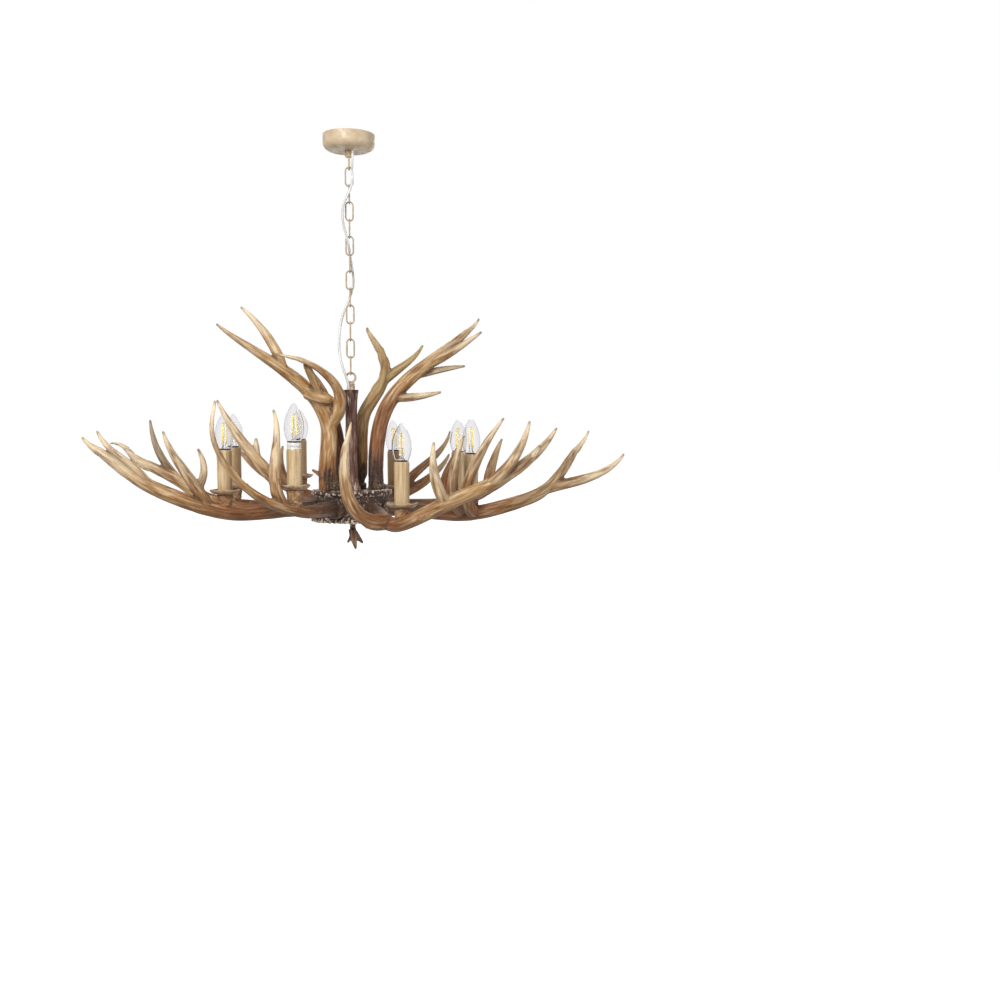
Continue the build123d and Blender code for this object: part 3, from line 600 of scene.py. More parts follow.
def relief_tree():
    """What an antler's surface is carved with: long grooves, pearls on the burr, gentle waves."""
    tree, given, out = new_group("antler_relief", "GeometryNodeTree", {
        "Geometry": "Geometry", "Groove Depth": 0.4 * MM, "Groove Width": 7.5 * MM, "Pearl Height": 1.2 * MM,
        "Pearl Size": 5 * MM, "Wave Height": 0.8 * MM, "Seed": 0.0, "Finish": "Material"},
        {"Geometry": "Geometry"})

    def read(name, kind="FLOAT"):
        return add(tree, "GeometryNodeInputNamedAttribute", {"Name": name}, data_type=kind)

    lump, calm = read("lump"), 1.0 - read("tip")
    shift = add(tree, "ShaderNodeCombineXYZ", {axis: given["Seed"] for axis in "XYZ"})
    place = vector("ADD", add(tree, "GeometryNodeInputPosition"), shift)
    fine = 1.0 / given["Groove Width"]
    stretch = add(tree, "ShaderNodeCombineXYZ", {"X": fine, "Y": fine, "Z": fine * 0.10})
    lined = vector("ADD", vector("MULTIPLY", read("grain", "FLOAT_VECTOR"), stretch), shift)
    groove = 1.0 - maths("ABSOLUTE", noise(lined, 1.0, 1.5) * 2.0 - 1.0).step(0.0, 0.26)
    cells = add(tree, "ShaderNodeTexVoronoi", {
        "Vector": place, "Scale": 1.0 / given["Pearl Size"], "Smoothness": 0.25}, "Distance",
        feature="SMOOTH_F1")
    pearl = 1.0 - cells.step(0.10, 0.62)
    rise = pearl * (lump * given["Pearl Height"]) - groove * (calm * given["Groove Depth"])
    rise = rise + (noise(place, 26.0, 1.0) * 2.0 - 1.0) * (calm * given["Wave Height"])
    told = given["Geometry"]
    for name, value in {"groove": groove * calm, "pearl": pearl * lump}.items():
        told = add(tree, "GeometryNodeStoreNamedAttribute", {"Geometry": told, "Name": name, "Value": value})
    push = vector("SCALE", add(tree, "GeometryNodeInputNormal"), rise * read("free"))
    dress(out, add(tree, "GeometryNodeSetPosition", {"Geometry": told, "Offset": push}), given["Finish"])
    return tree


antler_relief = relief_tree()


def attribute(tree, name, out="Fac"):
    """A named value of the mesh, in a material."""
    return add(tree, "ShaderNodeAttribute", out=out, attribute_name=name)


def antler_paint_group():
    """How every antler here is painted: dark near the hub, golden tan in the middle and cream at the tips,
    a brown wash in the grooves, rubbed off the ridges, and painted shade in forks and on undersides."""
    tree, given, out = new_group("antler_paint", "ShaderNodeTree", {
        "Dark Reach": 0.12, "Pale Reach": 0.15, "Dark": (0.052, 0.022, 0.010), "Warm": (0.205, 0.070, 0.018),
        "Tan": (0.50, 0.292, 0.118), "Pale": (0.88, 0.72, 0.49), "Wash": 0.6},
        {"Color": "Color", "Roughness": "Float", "Height": "Float"})
    dark, warm, tan, pale = (given[shade] for shade in ("Dark", "Warm", "Tan", "Pale"))

    def stretched(across, along, detail):
        """Noise in an antler's own straightened grain: fine across it, long along it."""
        scale = (1 / (across * MM), 1 / (across * MM), 1 / (along * MM))
        return noise(vector("MULTIPLY", attribute(tree, "grain", "Vector"), scale), 1.0, detail)

    streak, fibre, broad = stretched(4.6, 36, 4.0), stretched(1.2, 13, 3.0), stretched(15, 48, 4.0)
    remain, groove = attribute(tree, "remain"), attribute(tree, "groove")
    wander = streak * 0.10 + broad * 0.22 - 0.16
    near_hub = (attribute(tree, "reach") + wander) / given["Dark Reach"]
    near_tip = (remain + wander) / given["Pale Reach"]
    warmth = 1.0 - near_hub.step(1.0, 2.0)
    coat = blend((1.0 - near_tip.step(0.0, 1.0)) * 0.8, tan, pale)
    coat = blend(broad.step(0.46, 0.62) * 0.60, coat, warm)
    coat = blend(warmth * 0.92, coat, warm)
    coat = blend(1.0 - near_hub.step(0.35, 1.0), coat, dark)
    coat = blend(streak.step(0.50, 0.62) * (warmth * -0.34 + 0.42), coat, pale)
    dark_streak = 1.0 - streak.step(0.30, 0.46)
    wash = given["Wash"] * (groove * 0.50 + dark_streak * 0.66).clipped()
    # Painted shade in the forks and on the undersides, with the umber limb, broken up by the streaks
    shade_and_umber_mask = attribute(tree, "painted_shade_and_umber_limb") * (streak * -0.9 + 1.25)
    coat = blend(maths("MAXIMUM", wash, maths("MINIMUM", shade_and_umber_mask, 0.86)), coat, dark)
    coat = blend(attribute(tree, "pearl") * 0.22, coat, pale)
    worn = 1.0 - remain.step(0.0, WORN_POINT)
    coat = blend(worn * 0.65, coat, (0.13, 0.095, 0.065))
    coat = blend(1.0, coat, fibre * 0.5 + 0.75, "MULTIPLY")
    settle(out, {"Color": coat, "Roughness": groove * 0.12 + (fibre * 0.24 + 0.44),
                 "Height": streak * 0.6 + fibre})
    return tree


antler_paint = antler_paint_group()


def antler_finish(name, **paint):
    """One antler's own shades of the common paint."""
    def sockets(tree):
        coat = use_group(tree, antler_paint, **paint)
        return {"Base Color": coat["Color"], "Roughness": coat["Roughness"],
                "Normal": bump(coat["Height"], 0.7, 0.5)}
    return finish_material(name, sockets, Specular_IOR_Level=0.35)


def axis_line(points, stations=STATIONS):
    """A cubic through a limb's points, as the solid's has: smooth, with chord lengths as knots."""
    points = np.asarray(points, float)
    gap, rise = np.linalg.norm(np.diff(points, axis=0), axis=1), np.diff(points, axis=0)
    knots = np.concatenate([[0.0], np.cumsum(gap)])
    count, near = len(points), min(4, len(points))
    matrix, right = np.eye(count), np.zeros((count, 3))
    for end, part in ((0, slice(0, near)), (count - 1, slice(count - near, count))):
        for c in range(3):
            right[end, c] = np.polyfit(knots[part] - knots[end], points[part, c], near - 1)[-2]
    for i in range(1, count - 1):
        matrix[i, i - 1:i + 2] = gap[i], 2 * (gap[i - 1] + gap[i]), gap[i - 1]
        right[i] = 3 * (gap[i] * rise[i - 1] / gap[i - 1] + gap[i - 1] * rise[i] / gap[i])
    slopes = np.linalg.solve(matrix, right)
    at = np.linspace(0, knots[-1], stations)
    k = np.clip(np.searchsorted(knots, at, "right") - 1, 0, count - 2)
    u, wide = ((at - knots[k]) / gap[k])[:, None], gap[k][:, None]
    return ((1 + 2 * u) * (1 - u) ** 2 * points[k] + u * (1 - u) ** 2 * wide * slopes[k]
            + u * u * (3 - 2 * u) * points[k + 1] + u * u * (u - 1) * wide * slopes[k + 1])


def distances(line, place):
    """How far each point of a line is from a place."""
    return np.linalg.norm(line - place, axis=1)


def plan_limbs(limbs):
    """Each limb's line, girth, side vectors, and how far along the whole antler it starts."""
    plans = []
    for root_r, fullness, points in limbs:
        line = axis_line(np.asarray(points, float) * MM)
        run = np.concatenate([[0.0], np.cumsum(np.linalg.norm(np.diff(line, axis=0), axis=1))])
        girth = TIP_R + (root_r * MM - TIP_R) * (1 - (run / run[-1]) ** fullness)
        heading = np.gradient(line, axis=0)
        heading /= np.linalg.norm(heading, axis=1)[:, None]
        side, sides = np.cross(heading[0], (0.31, 0.52, 0.79)), []
        for way in heading:
            side = side - way * (side @ way)
            side = side / np.linalg.norm(side)
            sides.append(side)
        begun = 0.0
        if plans:
            parent = min(plans, key=lambda plan: distances(plan.line, line[0]).min())
            begun = parent.run[distances(parent.line, line[0]).argmin()] + parent.begun
        plans.append(SimpleNamespace(line=line, run=run, girth=girth, side=np.array(sides),
                                     over=np.cross(heading, sides), heading=heading, begun=begun))
    return plans


def along(a, b):
    """The product of each pair of vectors in two arrays."""
    return (a * b).sum(axis=1)


def follow_limbs(places, plans):
    """For each point: its limb, nearest station, and how far off the two nearest limbs are, in
    their own girths."""
    best, second = np.full((2, len(places)), 1e9)
    limb, station = np.zeros((2, len(places)), int)
    for j, plan in enumerate(plans):
        near = np.concatenate([np.linalg.norm(part[:, None] - plan.line, axis=2).argmin(axis=1)
                               for part in np.array_split(places, len(places) // 20000 + 1)])
        off = places - plan.line[near]
        inner = (near > 0) & (near < STATIONS - 1)
        ahead = along(off, plan.heading[near]) * inner
        share = np.sqrt(np.maximum(along(off, off) - ahead ** 2, 0)) / plan.girth[near]
        closer = share < best
        second = np.where(closer, best, np.minimum(second, share))
        best, limb, station = (np.where(closer, new, old)
                               for new, old in ((share, best), (j, limb), (near, station)))
    return limb, station, best, second


def edge_step(low, high, values):
    """The smooth step of an array of values."""
    t = np.clip((values - low) / (high - low), 0, 1)
    return t * t * (3 - 2 * t)


def relax(places, pairs, weight, rounds):
    """Pull each vertex towards the middle of its neighbours, as far as its weight allows."""
    counts = np.bincount(pairs.ravel(), minlength=len(places))
    for _ in range(rounds):
        sums = [sum(np.bincount(pairs[:, a], column[pairs[:, 1 - a]], len(places)) for a in (0, 1))
                for column in places.T]
        middle = np.stack(sums, axis=1) / counts[:, None]
        places = places + (middle - places) * (0.6 * weight[:, None])
    return places


def rows_of(data, key, width=3, kind=float):
    """The vertices' or edges' values of a mesh, one row for each."""
    rows = np.empty(len(data) * width, kind)
    data.foreach_get(key, rows)
    return rows.reshape(-1, width)


def store(mesh, name, values, kind="FLOAT"):
    """Give every vertex of a mesh a named value or vector."""
    layer = mesh.attributes.new(name, kind, "POINT")
    values = np.ascontiguousarray(values, np.float32).ravel()
    layer.data.foreach_set("vector" if kind == "FLOAT_VECTOR" else "value", values)


def remeshed(node):
    """An even, closed copy of a CAD node's skin: its loose triangles merged, then voxels."""
    mesh = frame["nodes"][node].data.copy()
    shell = bmesh.new()
    shell.from_mesh(mesh)
    bmesh.ops.remove_doubles(shell, verts=shell.verts, dist=1e-6)
    shell.to_mesh(mesh)
    shell.free()
    piece = put(node + "_cast", mesh, None)
    voxels = piece.modifiers.new("voxels", "REMESH")
    voxels.mode = "VOXEL"
    voxels.voxel_size = VOXEL
    voxels.use_smooth_shade = True
    return bake_modifiers(piece)


def true_up(mesh, places, pairs, plans, limbs):
    """Vertices moved out or in to their limb's girth, with webs drawn over the forks. Gives the
    places and how far each was filled in."""
    limb, station, share, other = follow_limbs(places, plans)
    outer = edge_step(0.70, 0.85, share)
    fork, proud = 1 - edge_step(1.10, 1.75, other), edge_step(1.06, 1.18, share)
    on_hub = limbs[0][2][0][2] < ARM_LEVEL
    rooted = on_hub * (1 - edge_step(*HUB_WALL, np.linalg.norm(places[:, :2], axis=1)))
    hold = outer * (1 - fork) * (1 - proud) * (1 - rooted)
    for j, plan in enumerate(plans):
        mine = limb == j
        s = station[mine]
        off = places[mine] - plan.line[s]
        inner = (s > 0) & (s < STATIONS - 1)
        ahead = (along(off, plan.heading[s]) * inner)[:, None] * plan.heading[s]
        axis, off = plan.line[s] + ahead, off - ahead
        aim = axis + off * (plan.girth[s] / np.maximum(np.linalg.norm(off, axis=1), 1e-6))[:, None]
        places[mine] += (aim - places[mine]) * hold[mine][:, None]
    webbed = relax(places, pairs, np.clip(fork * outer * (1 - rooted), 0, 1), 26)
    filled = along(webbed - places, rows_of(mesh.vertex_normals, "vector")) * outer / MM
    filled = relax(np.clip(filled, 0, 2)[:, None], pairs, np.ones(len(places)), 40)[:, 0]
    return relax(webbed, pairs, outer * 0.5, 2), np.clip(3.5 * filled, 0, 1)


def cast(name, node, limbs, finish, slot="antler_resin", pearled=None, umber_limb=None, skin=None, **carving):
    """A cast antler, grown on its CAD node: trued to its limbs, webbed at its forks, carved. Painted
    shade darkens it where a fork was filled in, and on the underside; one limb may be darker. A piece
    that says itself where it is pearled isn't trued."""
    piece = skin or remeshed(node)
    piece.name = name
    mesh = piece.data
    places = rows_of(mesh.vertices, "co")
    plans = plan_limbs(limbs)
    limb, station, share, _ = follow_limbs(places, plans)
    filled = np.zeros(len(places))
    if pearled is None:
        pairs = rows_of(mesh.edges, "vertices", 2, int)
        places, filled = true_up(mesh, places, pairs, plans, limbs)
    mesh.vertices.foreach_set("co", places.ravel())
    grain, reach, remain = np.zeros((len(places), 3)), np.zeros(len(places)), np.zeros(len(places))
    for j, plan in enumerate(plans):
        mine = limb == j
        s = station[mine]
        off = places[mine] - plan.line[s]
        run = plan.run[s] + along(off, plan.heading[s])
        reach[mine] = run + plan.begun
        grain[mine] = np.stack(
            [along(off, plan.side[s]) + 0.07 * j, along(off, plan.over[s]), reach[mine]], axis=1)
        gaps = [(distances(p.line, plan.line[-1]) - p.girth).min() for p in plans if p is not plan]
        remain[mine] = plan.run[-1] - run + (BURIED_END if min(gaps, default=1) < TIP_R else 0)
    proud = edge_step(1.06, 1.18, share) + 0.8 * np.exp(-reach / BURR_REACH)
    lump = pearled(places) if pearled else np.clip(proud, 0, 1)
    store(mesh, "grain", grain, "FLOAT_VECTOR")
    for label, values in {"reach": reach, "remain": remain, "tip": 1 - edge_step(0, SMOOTH_TIP, remain),
                          "lump": lump, "free": edge_step(0.70, 0.85, share)}.items():
        store(mesh, label, values)
    grow(piece, antler_relief, Finish=finish, **carving)
    # Painted shade where a fork was filled in and on the undersides, and the umber limb darker
    under = np.clip(-rows_of(piece.data.vertex_normals, "vector")[:, 2], 0, 1)
    painted_shade_and_umber_limb = 0.95 * filled + 0.85 * under ** 1.3 + 0.75 * (limb == umber_limb)
    store(piece.data, "painted_shade_and_umber_limb", np.clip(painted_shade_and_umber_limb, 0, 1))
    piece.data.name = name
    piece.data.polygons.foreach_set("use_smooth", [True] * len(piece.data.polygons))
    for spent in ("lump", "free", "tip"):
        piece.data.attributes.remove(piece.data.attributes[spent])
    fit(piece, "fixture", slot, node)


bark_finish = antler_finish(
    "bark_finish", Dark_Reach=0.001, Pale_Reach=0.001, Dark=(0.026, 0.012, 0.010), Warm=(0.13, 0.048, 0.030),
    Tan=(0.18, 0.084, 0.062), Pale=(0.74, 0.56, 0.47), Wash=0.9)
POST_LIMB = [(13, 30.0, [(0, 0, -489), (0, 0, -587), (0, 0, -640), (0, 0, -690)])]
POST_SIDE = [(15, 0, -489), (12.5, 0, -511), (11.8, 0, -587), (12.5, 0, -661), (17, 0, -685)]
post_outline = [(r, z) for r, _, z in axis_line(POST_SIDE, 300)]
post_outline += [(POST_BORE_R, HUB_TOP), (POST_BORE_R, POST_TOP)]
post_skin = put("centre_post", lathe("centre_post", post_outline, 180), None)
cast("centre_post", "centre_post", POST_LIMB, bark_finish, slot="bark_resin", skin=post_skin,
     pearled=lambda places: edge_step(-660 * MM, -684 * MM, places[:, 2]) * 0.8,
     Groove_Depth=1.1 * MM, Groove_Width=7 * MM, Wave_Height=1.0 * MM, Pearl_Height=1.2 * MM, Seed=3.0)

# ---- hub --------------------------------------------------------------------------------------
# A cast resin drum, made to look like a sawn antler burr: pearled all over, pale on the peaks and
# dark in the pits, with a toothed skirt. A flat cover closes it from below.

HUB_BOTTOM = -744
HUB_LIMB = [(72, 30.0, [(0, 0, -684), (0, 0, -705), (0, 0, -725), (0, 0, -745)])]


def burr_sockets(tree):
    """Burr: near-black pits, umber slopes and bone-grey peaks."""
    speck = patch(tree, 2.2, 0.42, 0.62)
    high = (attribute(tree, "pearl") + (speck * 0.5 - 0.3)).clipped()
    coat = ramp(high, {0.0: (0.028, 0.015, 0.011), 0.22: (0.14, 0.072, 0.046), 0.38: (0.48, 0.33, 0.235),
                       0.66: (0.85, 0.72, 0.59)})
    coat = blend(patch(tree, 12, 0.38, 0.66) * 0.30, coat, (0.12, 0.060, 0.040))
    coat = blend(attribute(tree, "groove") * 0.5, coat, (0.03, 0.018, 0.014))
    fine = noise(add(tree, "ShaderNodeTexCoord", out="Object"), 700.0, 3.0)
    return {"Base Color": coat, "Roughness": speck * -0.2 + 0.72, "Normal": bump(fine, 0.6, 0.6)}


burr_finish = finish_material("burr_finish", burr_sockets)


def burr_zone(places):
    """Pearls stand on the drum's top, rim and skirt, and are lower on its wall."""
    out, z = np.linalg.norm(places[:, :2], axis=1) / MM, places[:, 2] / MM
    top = edge_step(HUB_TOP - 12, HUB_TOP - 6, z) * edge_step(20, 44, out)
    skirt = 1 - edge_step(HUB_BOTTOM + 7, HUB_BOTTOM + 11, z)
    return np.clip(np.maximum(top, skirt * 0.8) + 0.35, 0, 1) * edge_step(63, 66, np.maximum(out, top * 66))


cast("hub_drum", "hub_shell", HUB_LIMB, burr_finish, slot="burr_resin", pearled=burr_zone,
     Groove_Depth=0.6 * MM, Groove_Width=9 * MM, Wave_Height=1.0 * MM, Pearl_Height=2.6 * MM,
     Pearl_Size=6.5 * MM, Seed=11.0)


def teeth_tree():
    """The skirt's row of small burr teeth: beads set round the rim, no two quite alike."""
    tree, given, out = new_group("burr_teeth", "GeometryNodeTree", {
        "Geometry": "Geometry", "Count": 60, "Ring Radius": 0.075, "Height": -0.74, "Tooth Size": 0.004,
        "Seed": 0, "Finish": "Material"}, {"Geometry": "Geometry"})

    def chance(low, high):
        wires = {"Min": low, "Max": high, "Seed": given["Seed"]}
        return add(tree, "FunctionNodeRandomValue", wires, "Value", data_type="FLOAT_VECTOR")

    ring = add(tree, "GeometryNodeMeshCircle", {"Vertices": given["Count"], "Radius": given["Ring Radius"]})
    level = add(tree, "ShaderNodeCombineXYZ", {"Z": given["Height"]})
    shift = vector("ADD", chance((-0.001,) * 3, (0.001,) * 3), level)
    spots = add(tree, "GeometryNodeSetPosition", {"Geometry": ring, "Offset": shift})
    ball = add(tree, "GeometryNodeMeshIcoSphere", {"Radius": 1.0, "Subdivisions": 2})
    scaled = vector("SCALE", chance((0.6, 0.6, 0.7), (1.0, 1.0, 1.25)), given["Tooth Size"])
    teeth = add(tree, "GeometryNodeInstanceOnPoints", {"Points": spots, "Instance": ball, "Scale": scaled})
    real = add(tree, "GeometryNodeRealizeInstances", {"Geometry": teeth})
    high = add(tree, "GeometryNodeStoreNamedAttribute", {"Geometry": real, "Name": "pearl", "Value": 0.8})
    dress(out, add(tree, "GeometryNodeSetShadeSmooth", {"Geometry": high}), given["Finish"])
    return tree


teeth = put("hub_teeth", bpy.data.meshes.new("hub_teeth"), None)
teeth = grow(teeth, teeth_tree(), Count=76, Ring_Radius=74.5 * MM, Height=(HUB_BOTTOM + 2) * MM,
             Tooth_Size=3.4 * MM, Seed=5, Finish=burr_finish)
fit(teeth, "fixture", "burr_resin")


def cover_sockets(tree):
    """The cover's dark umber resin, mottled."""
    cloud, speck = patch(tree, 20, 0.35, 0.7), patch(tree, 3, 0.5, 0.66)
    coat = blend(cloud, (0.050, 0.028, 0.020), (0.13, 0.078, 0.055))
    coat = blend(speck * 0.5, coat, (0.30, 0.22, 0.17))
    return {"Base Color": coat, "Roughness": cloud * -0.15 + 0.6, "Normal": bump(speck, 0.4, 0.4)}


cover = put("hub_cover", lathe("hub_cover", [(r, HUB_BOTTOM + rise) for r, rise in (
    (NIPPLE_R, 4), (62.9, 4), (62.9, 1), (61.9, 0), (56, 0), (54, 0.8), (30, 0.8), (28, 0), (NIPPLE_R, 0))],
    96), finish_material("cover_finish", cover_sockets))
fit(soften(cover), "fixture", "burr_resin", "hub_cover")

# ---- finial -----------------------------------------------------------------------------------
# The tip of a small antler, three short points, screwed on the tube's lower end under the hub.

FINIAL = [
    (11, 0.6, [(0, 0, -734), (1, 0, -760), (-2, 0, -775), (-9, -3, -788)]),
    (7.5, 2.0, [(0, 0, -762), (3, -1, -780), (7, -2, -801)]),
    (6.5, 2.0, [(1, 0, -764), (10, 2, -777), (21, 4, -790)]),
]
finial_finish = antler_finish(
    "finial_finish", Dark_Reach=0.03, Pale_Reach=0.03, Dark=(0.06, 0.026, 0.018), Warm=(0.15, 0.062, 0.038),
    Tan=(0.36, 0.21, 0.11), Pale=(0.66, 0.50, 0.32), Wash=0.75)
cast("bottom_finial", "bottom_finial", FINIAL, finial_finish, slot="bark_resin", Groove_Depth=0.7 * MM,
     Groove_Width=5 * MM, Wave_Height=0.4 * MM, Seed=7.0)

# ---- arm antlers ------------------------------------------------------------------------------
# Eight low antlers, cast in resin from real ones, each drawn up against the hub by the steel tube
# in its beam. The beam passes under its light and forks beyond it. The lists give each limb's root
# radius, how it tapers, and the points of its line.

ARM_HEIGHT = -721
ARM_TUBE_START = 46
LONG_BEAM, BEAM, TINE = 6.5, 4.5, 2.0
# Each light's place, its cup's and its beam's heights, and how far its sleeve sits low
LIGHTS = {
    "left_front": (-233, -94, -684, -719, 0), "left_back": (-234, 92, -682, -718, 0),
    "front_left": (-99, -228, -669, -708, 11), "front_right": (88, -228, -703, -733, 0),
    "right_front": (226, -93, -693, -726, 0), "right_back": (219, 95, -693, -717, 0),
    "back_right": (91, 228, -693, -715, 0), "back_left": (-109, 228, -669, -702, 0),
}
ARM_ANTLERS = {
    "left_front": [
        (14.5, LONG_BEAM, [(-312, -110, -693), (-364, -112, -669), (-416, -112, -634), (-485, -95, -580)]),
        (9.5, TINE, [(-368, -113, -664), (-409, -110, -623), (-435, -103, -601), (-459, -92, -569)]),
        (12, TINE, [(-262, -101, -712), (-289, -116, -662), (-318, -126, -615), (-336, -134, -569)]),
        (8, TINE, [(-280, -110, -676), (-269, -112, -648), (-277, -122, -601)]),
    ],
    "left_back": [
        (13, LONG_BEAM, [(-296, 105, -703), (-346, 122, -672), (-420, 134, -633), (-484, 140, -594)]),
        (9, TINE, [(-352, 130, -665), (-385, 141, -622), (-407, 150, -547)]),
    ],
    "front_left": [
        (15.5, 1.2, [(-140, -256, -692), (-204, -280, -636), (-232, -283, -570), (-227, -274, -518)]),
        (11.5, TINE, [(-112, -233, -706), (-130, -250, -668), (-129, -250, -600), (-133, -244, -532)]),
        (11.5, TINE, [(-129, -250, -655), (-164, -236, -617), (-205, -221, -562), (-231, -214, -515)]),
        (8, TINE, [(-162, -236, -621), (-164, -230, -600), (-164, -228, -581)]),
    ],
    "front_right": [
        (13.5, LONG_BEAM, [(145, -248, -706), (217, -240, -676), (300, -224, -633), (371, -204, -563)]),
        (13, 2.4, [(70, -195, -729), (5, -217, -708), (-12, -222, -655), (0, -212, -553)]),
        (11, TINE, [(165, -247, -698), (149, -256, -665), (143, -258, -588)]),
        (11, TINE, [(245, -236, -662), (290, -240, -613), (315, -242, -551)]),
        (7, TINE, [(318, -219, -624), (329, -222, -606), (337, -222, -594)]),
    ],
    "right_front": [
        (14, BEAM, [(298, -116, -708), (368, -117, -678), (424, -110, -607), (452, -104, -569)]),
        (11, TINE, [(370, -116, -678), (413, -120, -667), (470, -119, -650), (519, -114, -613)]),
        (12.5, TINE, [(228, -106, -722), (213, -138, -688), (236, -152, -613), (280, -158, -545)]),
        (12, TINE, [(205, -104, -720), (188, -128, -685), (191, -136, -632), (208, -140, -578)]),
    ],
    "right_back": [
        (13, BEAM, [(264, 124, -703), (306, 140, -682), (368, 157, -642), (405, 164, -608)]),
        (12, TINE, [(284, 132, -695), (293, 137, -650), (317, 140, -586)]),
        (11, TINE, [(196, 84, -714), (187, 66, -678), (200, 58, -636), (212, 50, -604)]),
    ],
    "back_right": [
        (13.5, BEAM, [(128, 262, -700), (165, 290, -680), (198, 308, -653), (220, 318, -622)]),
        (11, TINE, [(112, 250, -707), (150, 280, -655), (192, 290, -619), (220, 294, -570)]),
    ],
    "back_left": [
        (13.5, BEAM, [(-146, 258, -686), (-186, 280, -664), (-221, 292, -637), (-247, 298, -608)]),
        (10, TINE, [(-135, 248, -690), (-151, 260, -655), (-148, 268, -602)]),
    ],
}
arm_finishes = {
    "front": antler_finish("antler_tan", Dark_Reach=0.16, Pale_Reach=0.17, Wash=0.74),
    "side": antler_finish("antler_umber", Dark_Reach=0.17, Pale_Reach=0.19, Wash=0.78,
                          Tan=(0.48, 0.275, 0.108), Warm=(0.21, 0.068, 0.017)),
    # antler_shaded is the tan paint darkened: painted shade on the antlers at the back
    "back": antler_finish("antler_shaded", Dark_Reach=0.20, Pale_Reach=0.10, Wash=0.7,
                          Tan=(0.34, 0.195, 0.085), Pale=(0.60, 0.44, 0.25)),
}
ARM_SHADES = {"left_front": "side", "left_back": "front", "right_front": "side", "front_left": "front",
              "front_right": "front"}
UMBER_LIMBS = {"left_back": 1}
for seed, (arm, limbs) in enumerate(ARM_ANTLERS.items()):
    x, y, _, beam_z, _ = LIGHTS[arm]
    inward = ARM_TUBE_START / math.hypot(x, y)
    root = (x * inward, y * inward, ARM_HEIGHT)
    middle = ((root[0] + x) / 2, (root[1] + y) / 2, (root[2] + beam_z) / 2)
    root_r, fullness, beyond = limbs[0]
    whole = [(root_r, fullness, [root, middle, (x, y, beam_z), *beyond]), *limbs[1:]]
    cast(f"arm_antler_{arm}", f"arm_antler_{arm}", whole, arm_finishes[ARM_SHADES.get(arm, "back")],
         umber_limb=UMBER_LIMBS.get(arm), Seed=1.7 * seed, Pearl_Height=0.8 * MM, Pearl_Size=3.8 * MM)

# ---- crown antlers ----------------------------------------------------------------------------
# Four upper antlers that stand on the hub round the post, each on a stud with a nut inside the
# drum. Their stems are darkest, and one has an olive cast.

CROWN_ANTLERS = {
    "front_left": [
        (16.5, 2.6, [(-45, -30, -700), (-45, -30, -620), (-47, -28, -545), (-110, -42, -466),
                     (-246, -76, -371)]),
        (10, TINE, [(-128, -47, -447), (-150, -44, -400), (-205, -34, -335)]),
        (15, 0.9, [(-44, -28, -556), (-22, -45, -500), (-61, -78, -452), (-137, -94, -427)]),
        (14, LONG_BEAM, [(-84, -38, -494), (-58, -38, -506), (-32, -37, -508)]),
        (8, LONG_BEAM, [(-60, -42, -502), (-71, -55, -471), (-86, -82, -442)]),
        (7, TINE, [(-45, -31, -672), (-58, -38, -655), (-75, -44, -643)]),
    ],
    "back_left": [
        (12, BEAM, [(-21, 45, -700), (-24, 43, -600), (-42, 50, -523), (-89, 68, -439)]),
    ],
    "back_right": [
        (13.5, BEAM, [(14, 44, -700), (19, 39, -587), (27, 41, -533), (64, 48, -468), (60, 50, -411),
                      (35, 49, -362)]),
        (10.5, TINE, [(48, 45, -490), (82, 51, -455), (118, 58, -428), (145, 64, -396)]),
    ],
    "right": [
        (15, BEAM, [(51, 10, -700), (50, 10, -597), (72, 6, -518), (152, -6, -436), (251, -12, -349)]),
        (10, TINE, [(144, -5, -444), (190, -17, -418), (254, -30, -376)]),
        (8, TINE, [(128, -3, -460), (167, 6, -450), (226, 20, -440)]),
        (9, TINE, [(86, 4, -504), (125, -10, -502), (175, -20, -493)]),
    ],
}
crown_finishes = {
    "front_left": antler_finish("crown_ochre", Dark_Reach=0.06, Pale_Reach=0.13, Wash=0.55,
                                Warm=(0.34, 0.14, 0.04)),
    # crown_shaded is the paint darkened: painted shade on the antler at the back
    "back_left": antler_finish("crown_shaded", Dark_Reach=0.16, Pale_Reach=0.06, Wash=0.7,
                               Tan=(0.26, 0.13, 0.055)),
    "back_right": antler_finish("crown_olive", Dark_Reach=0.08, Pale_Reach=0.06, Wash=0.6,
                                Warm=(0.31, 0.145, 0.052), Tan=(0.46, 0.305, 0.130), Pale=(0.66, 0.52, 0.30)),
    "right": antler_finish("crown_russet", Dark_Reach=0.13, Pale_Reach=0.13, Wash=0.66,
                           Dark=(0.042, 0.016, 0.010), Warm=(0.25, 0.088, 0.030)),
}
for seed, (place, limbs) in enumerate(CROWN_ANTLERS.items()):
    cast(f"crown_antler_{place}", f"crown_antler_{place}", limbs, crown_finishes[place], Seed=20 + 2.3 * seed,
         Groove_Depth=0.4 * MM, Pearl_Height=0.9 * MM, Pearl_Size=4.2 * MM)

# ---- drip cups --------------------------------------------------------------------------------
# Eight shallow resin dishes with a wavy lip, one on each antler's seat, clamped under the
# lampholder's stem. They are dark brown outside and paler on the worn lip.

CUP_R = 28.5
LIP_START = 20
CUP_SHEET = 1.8


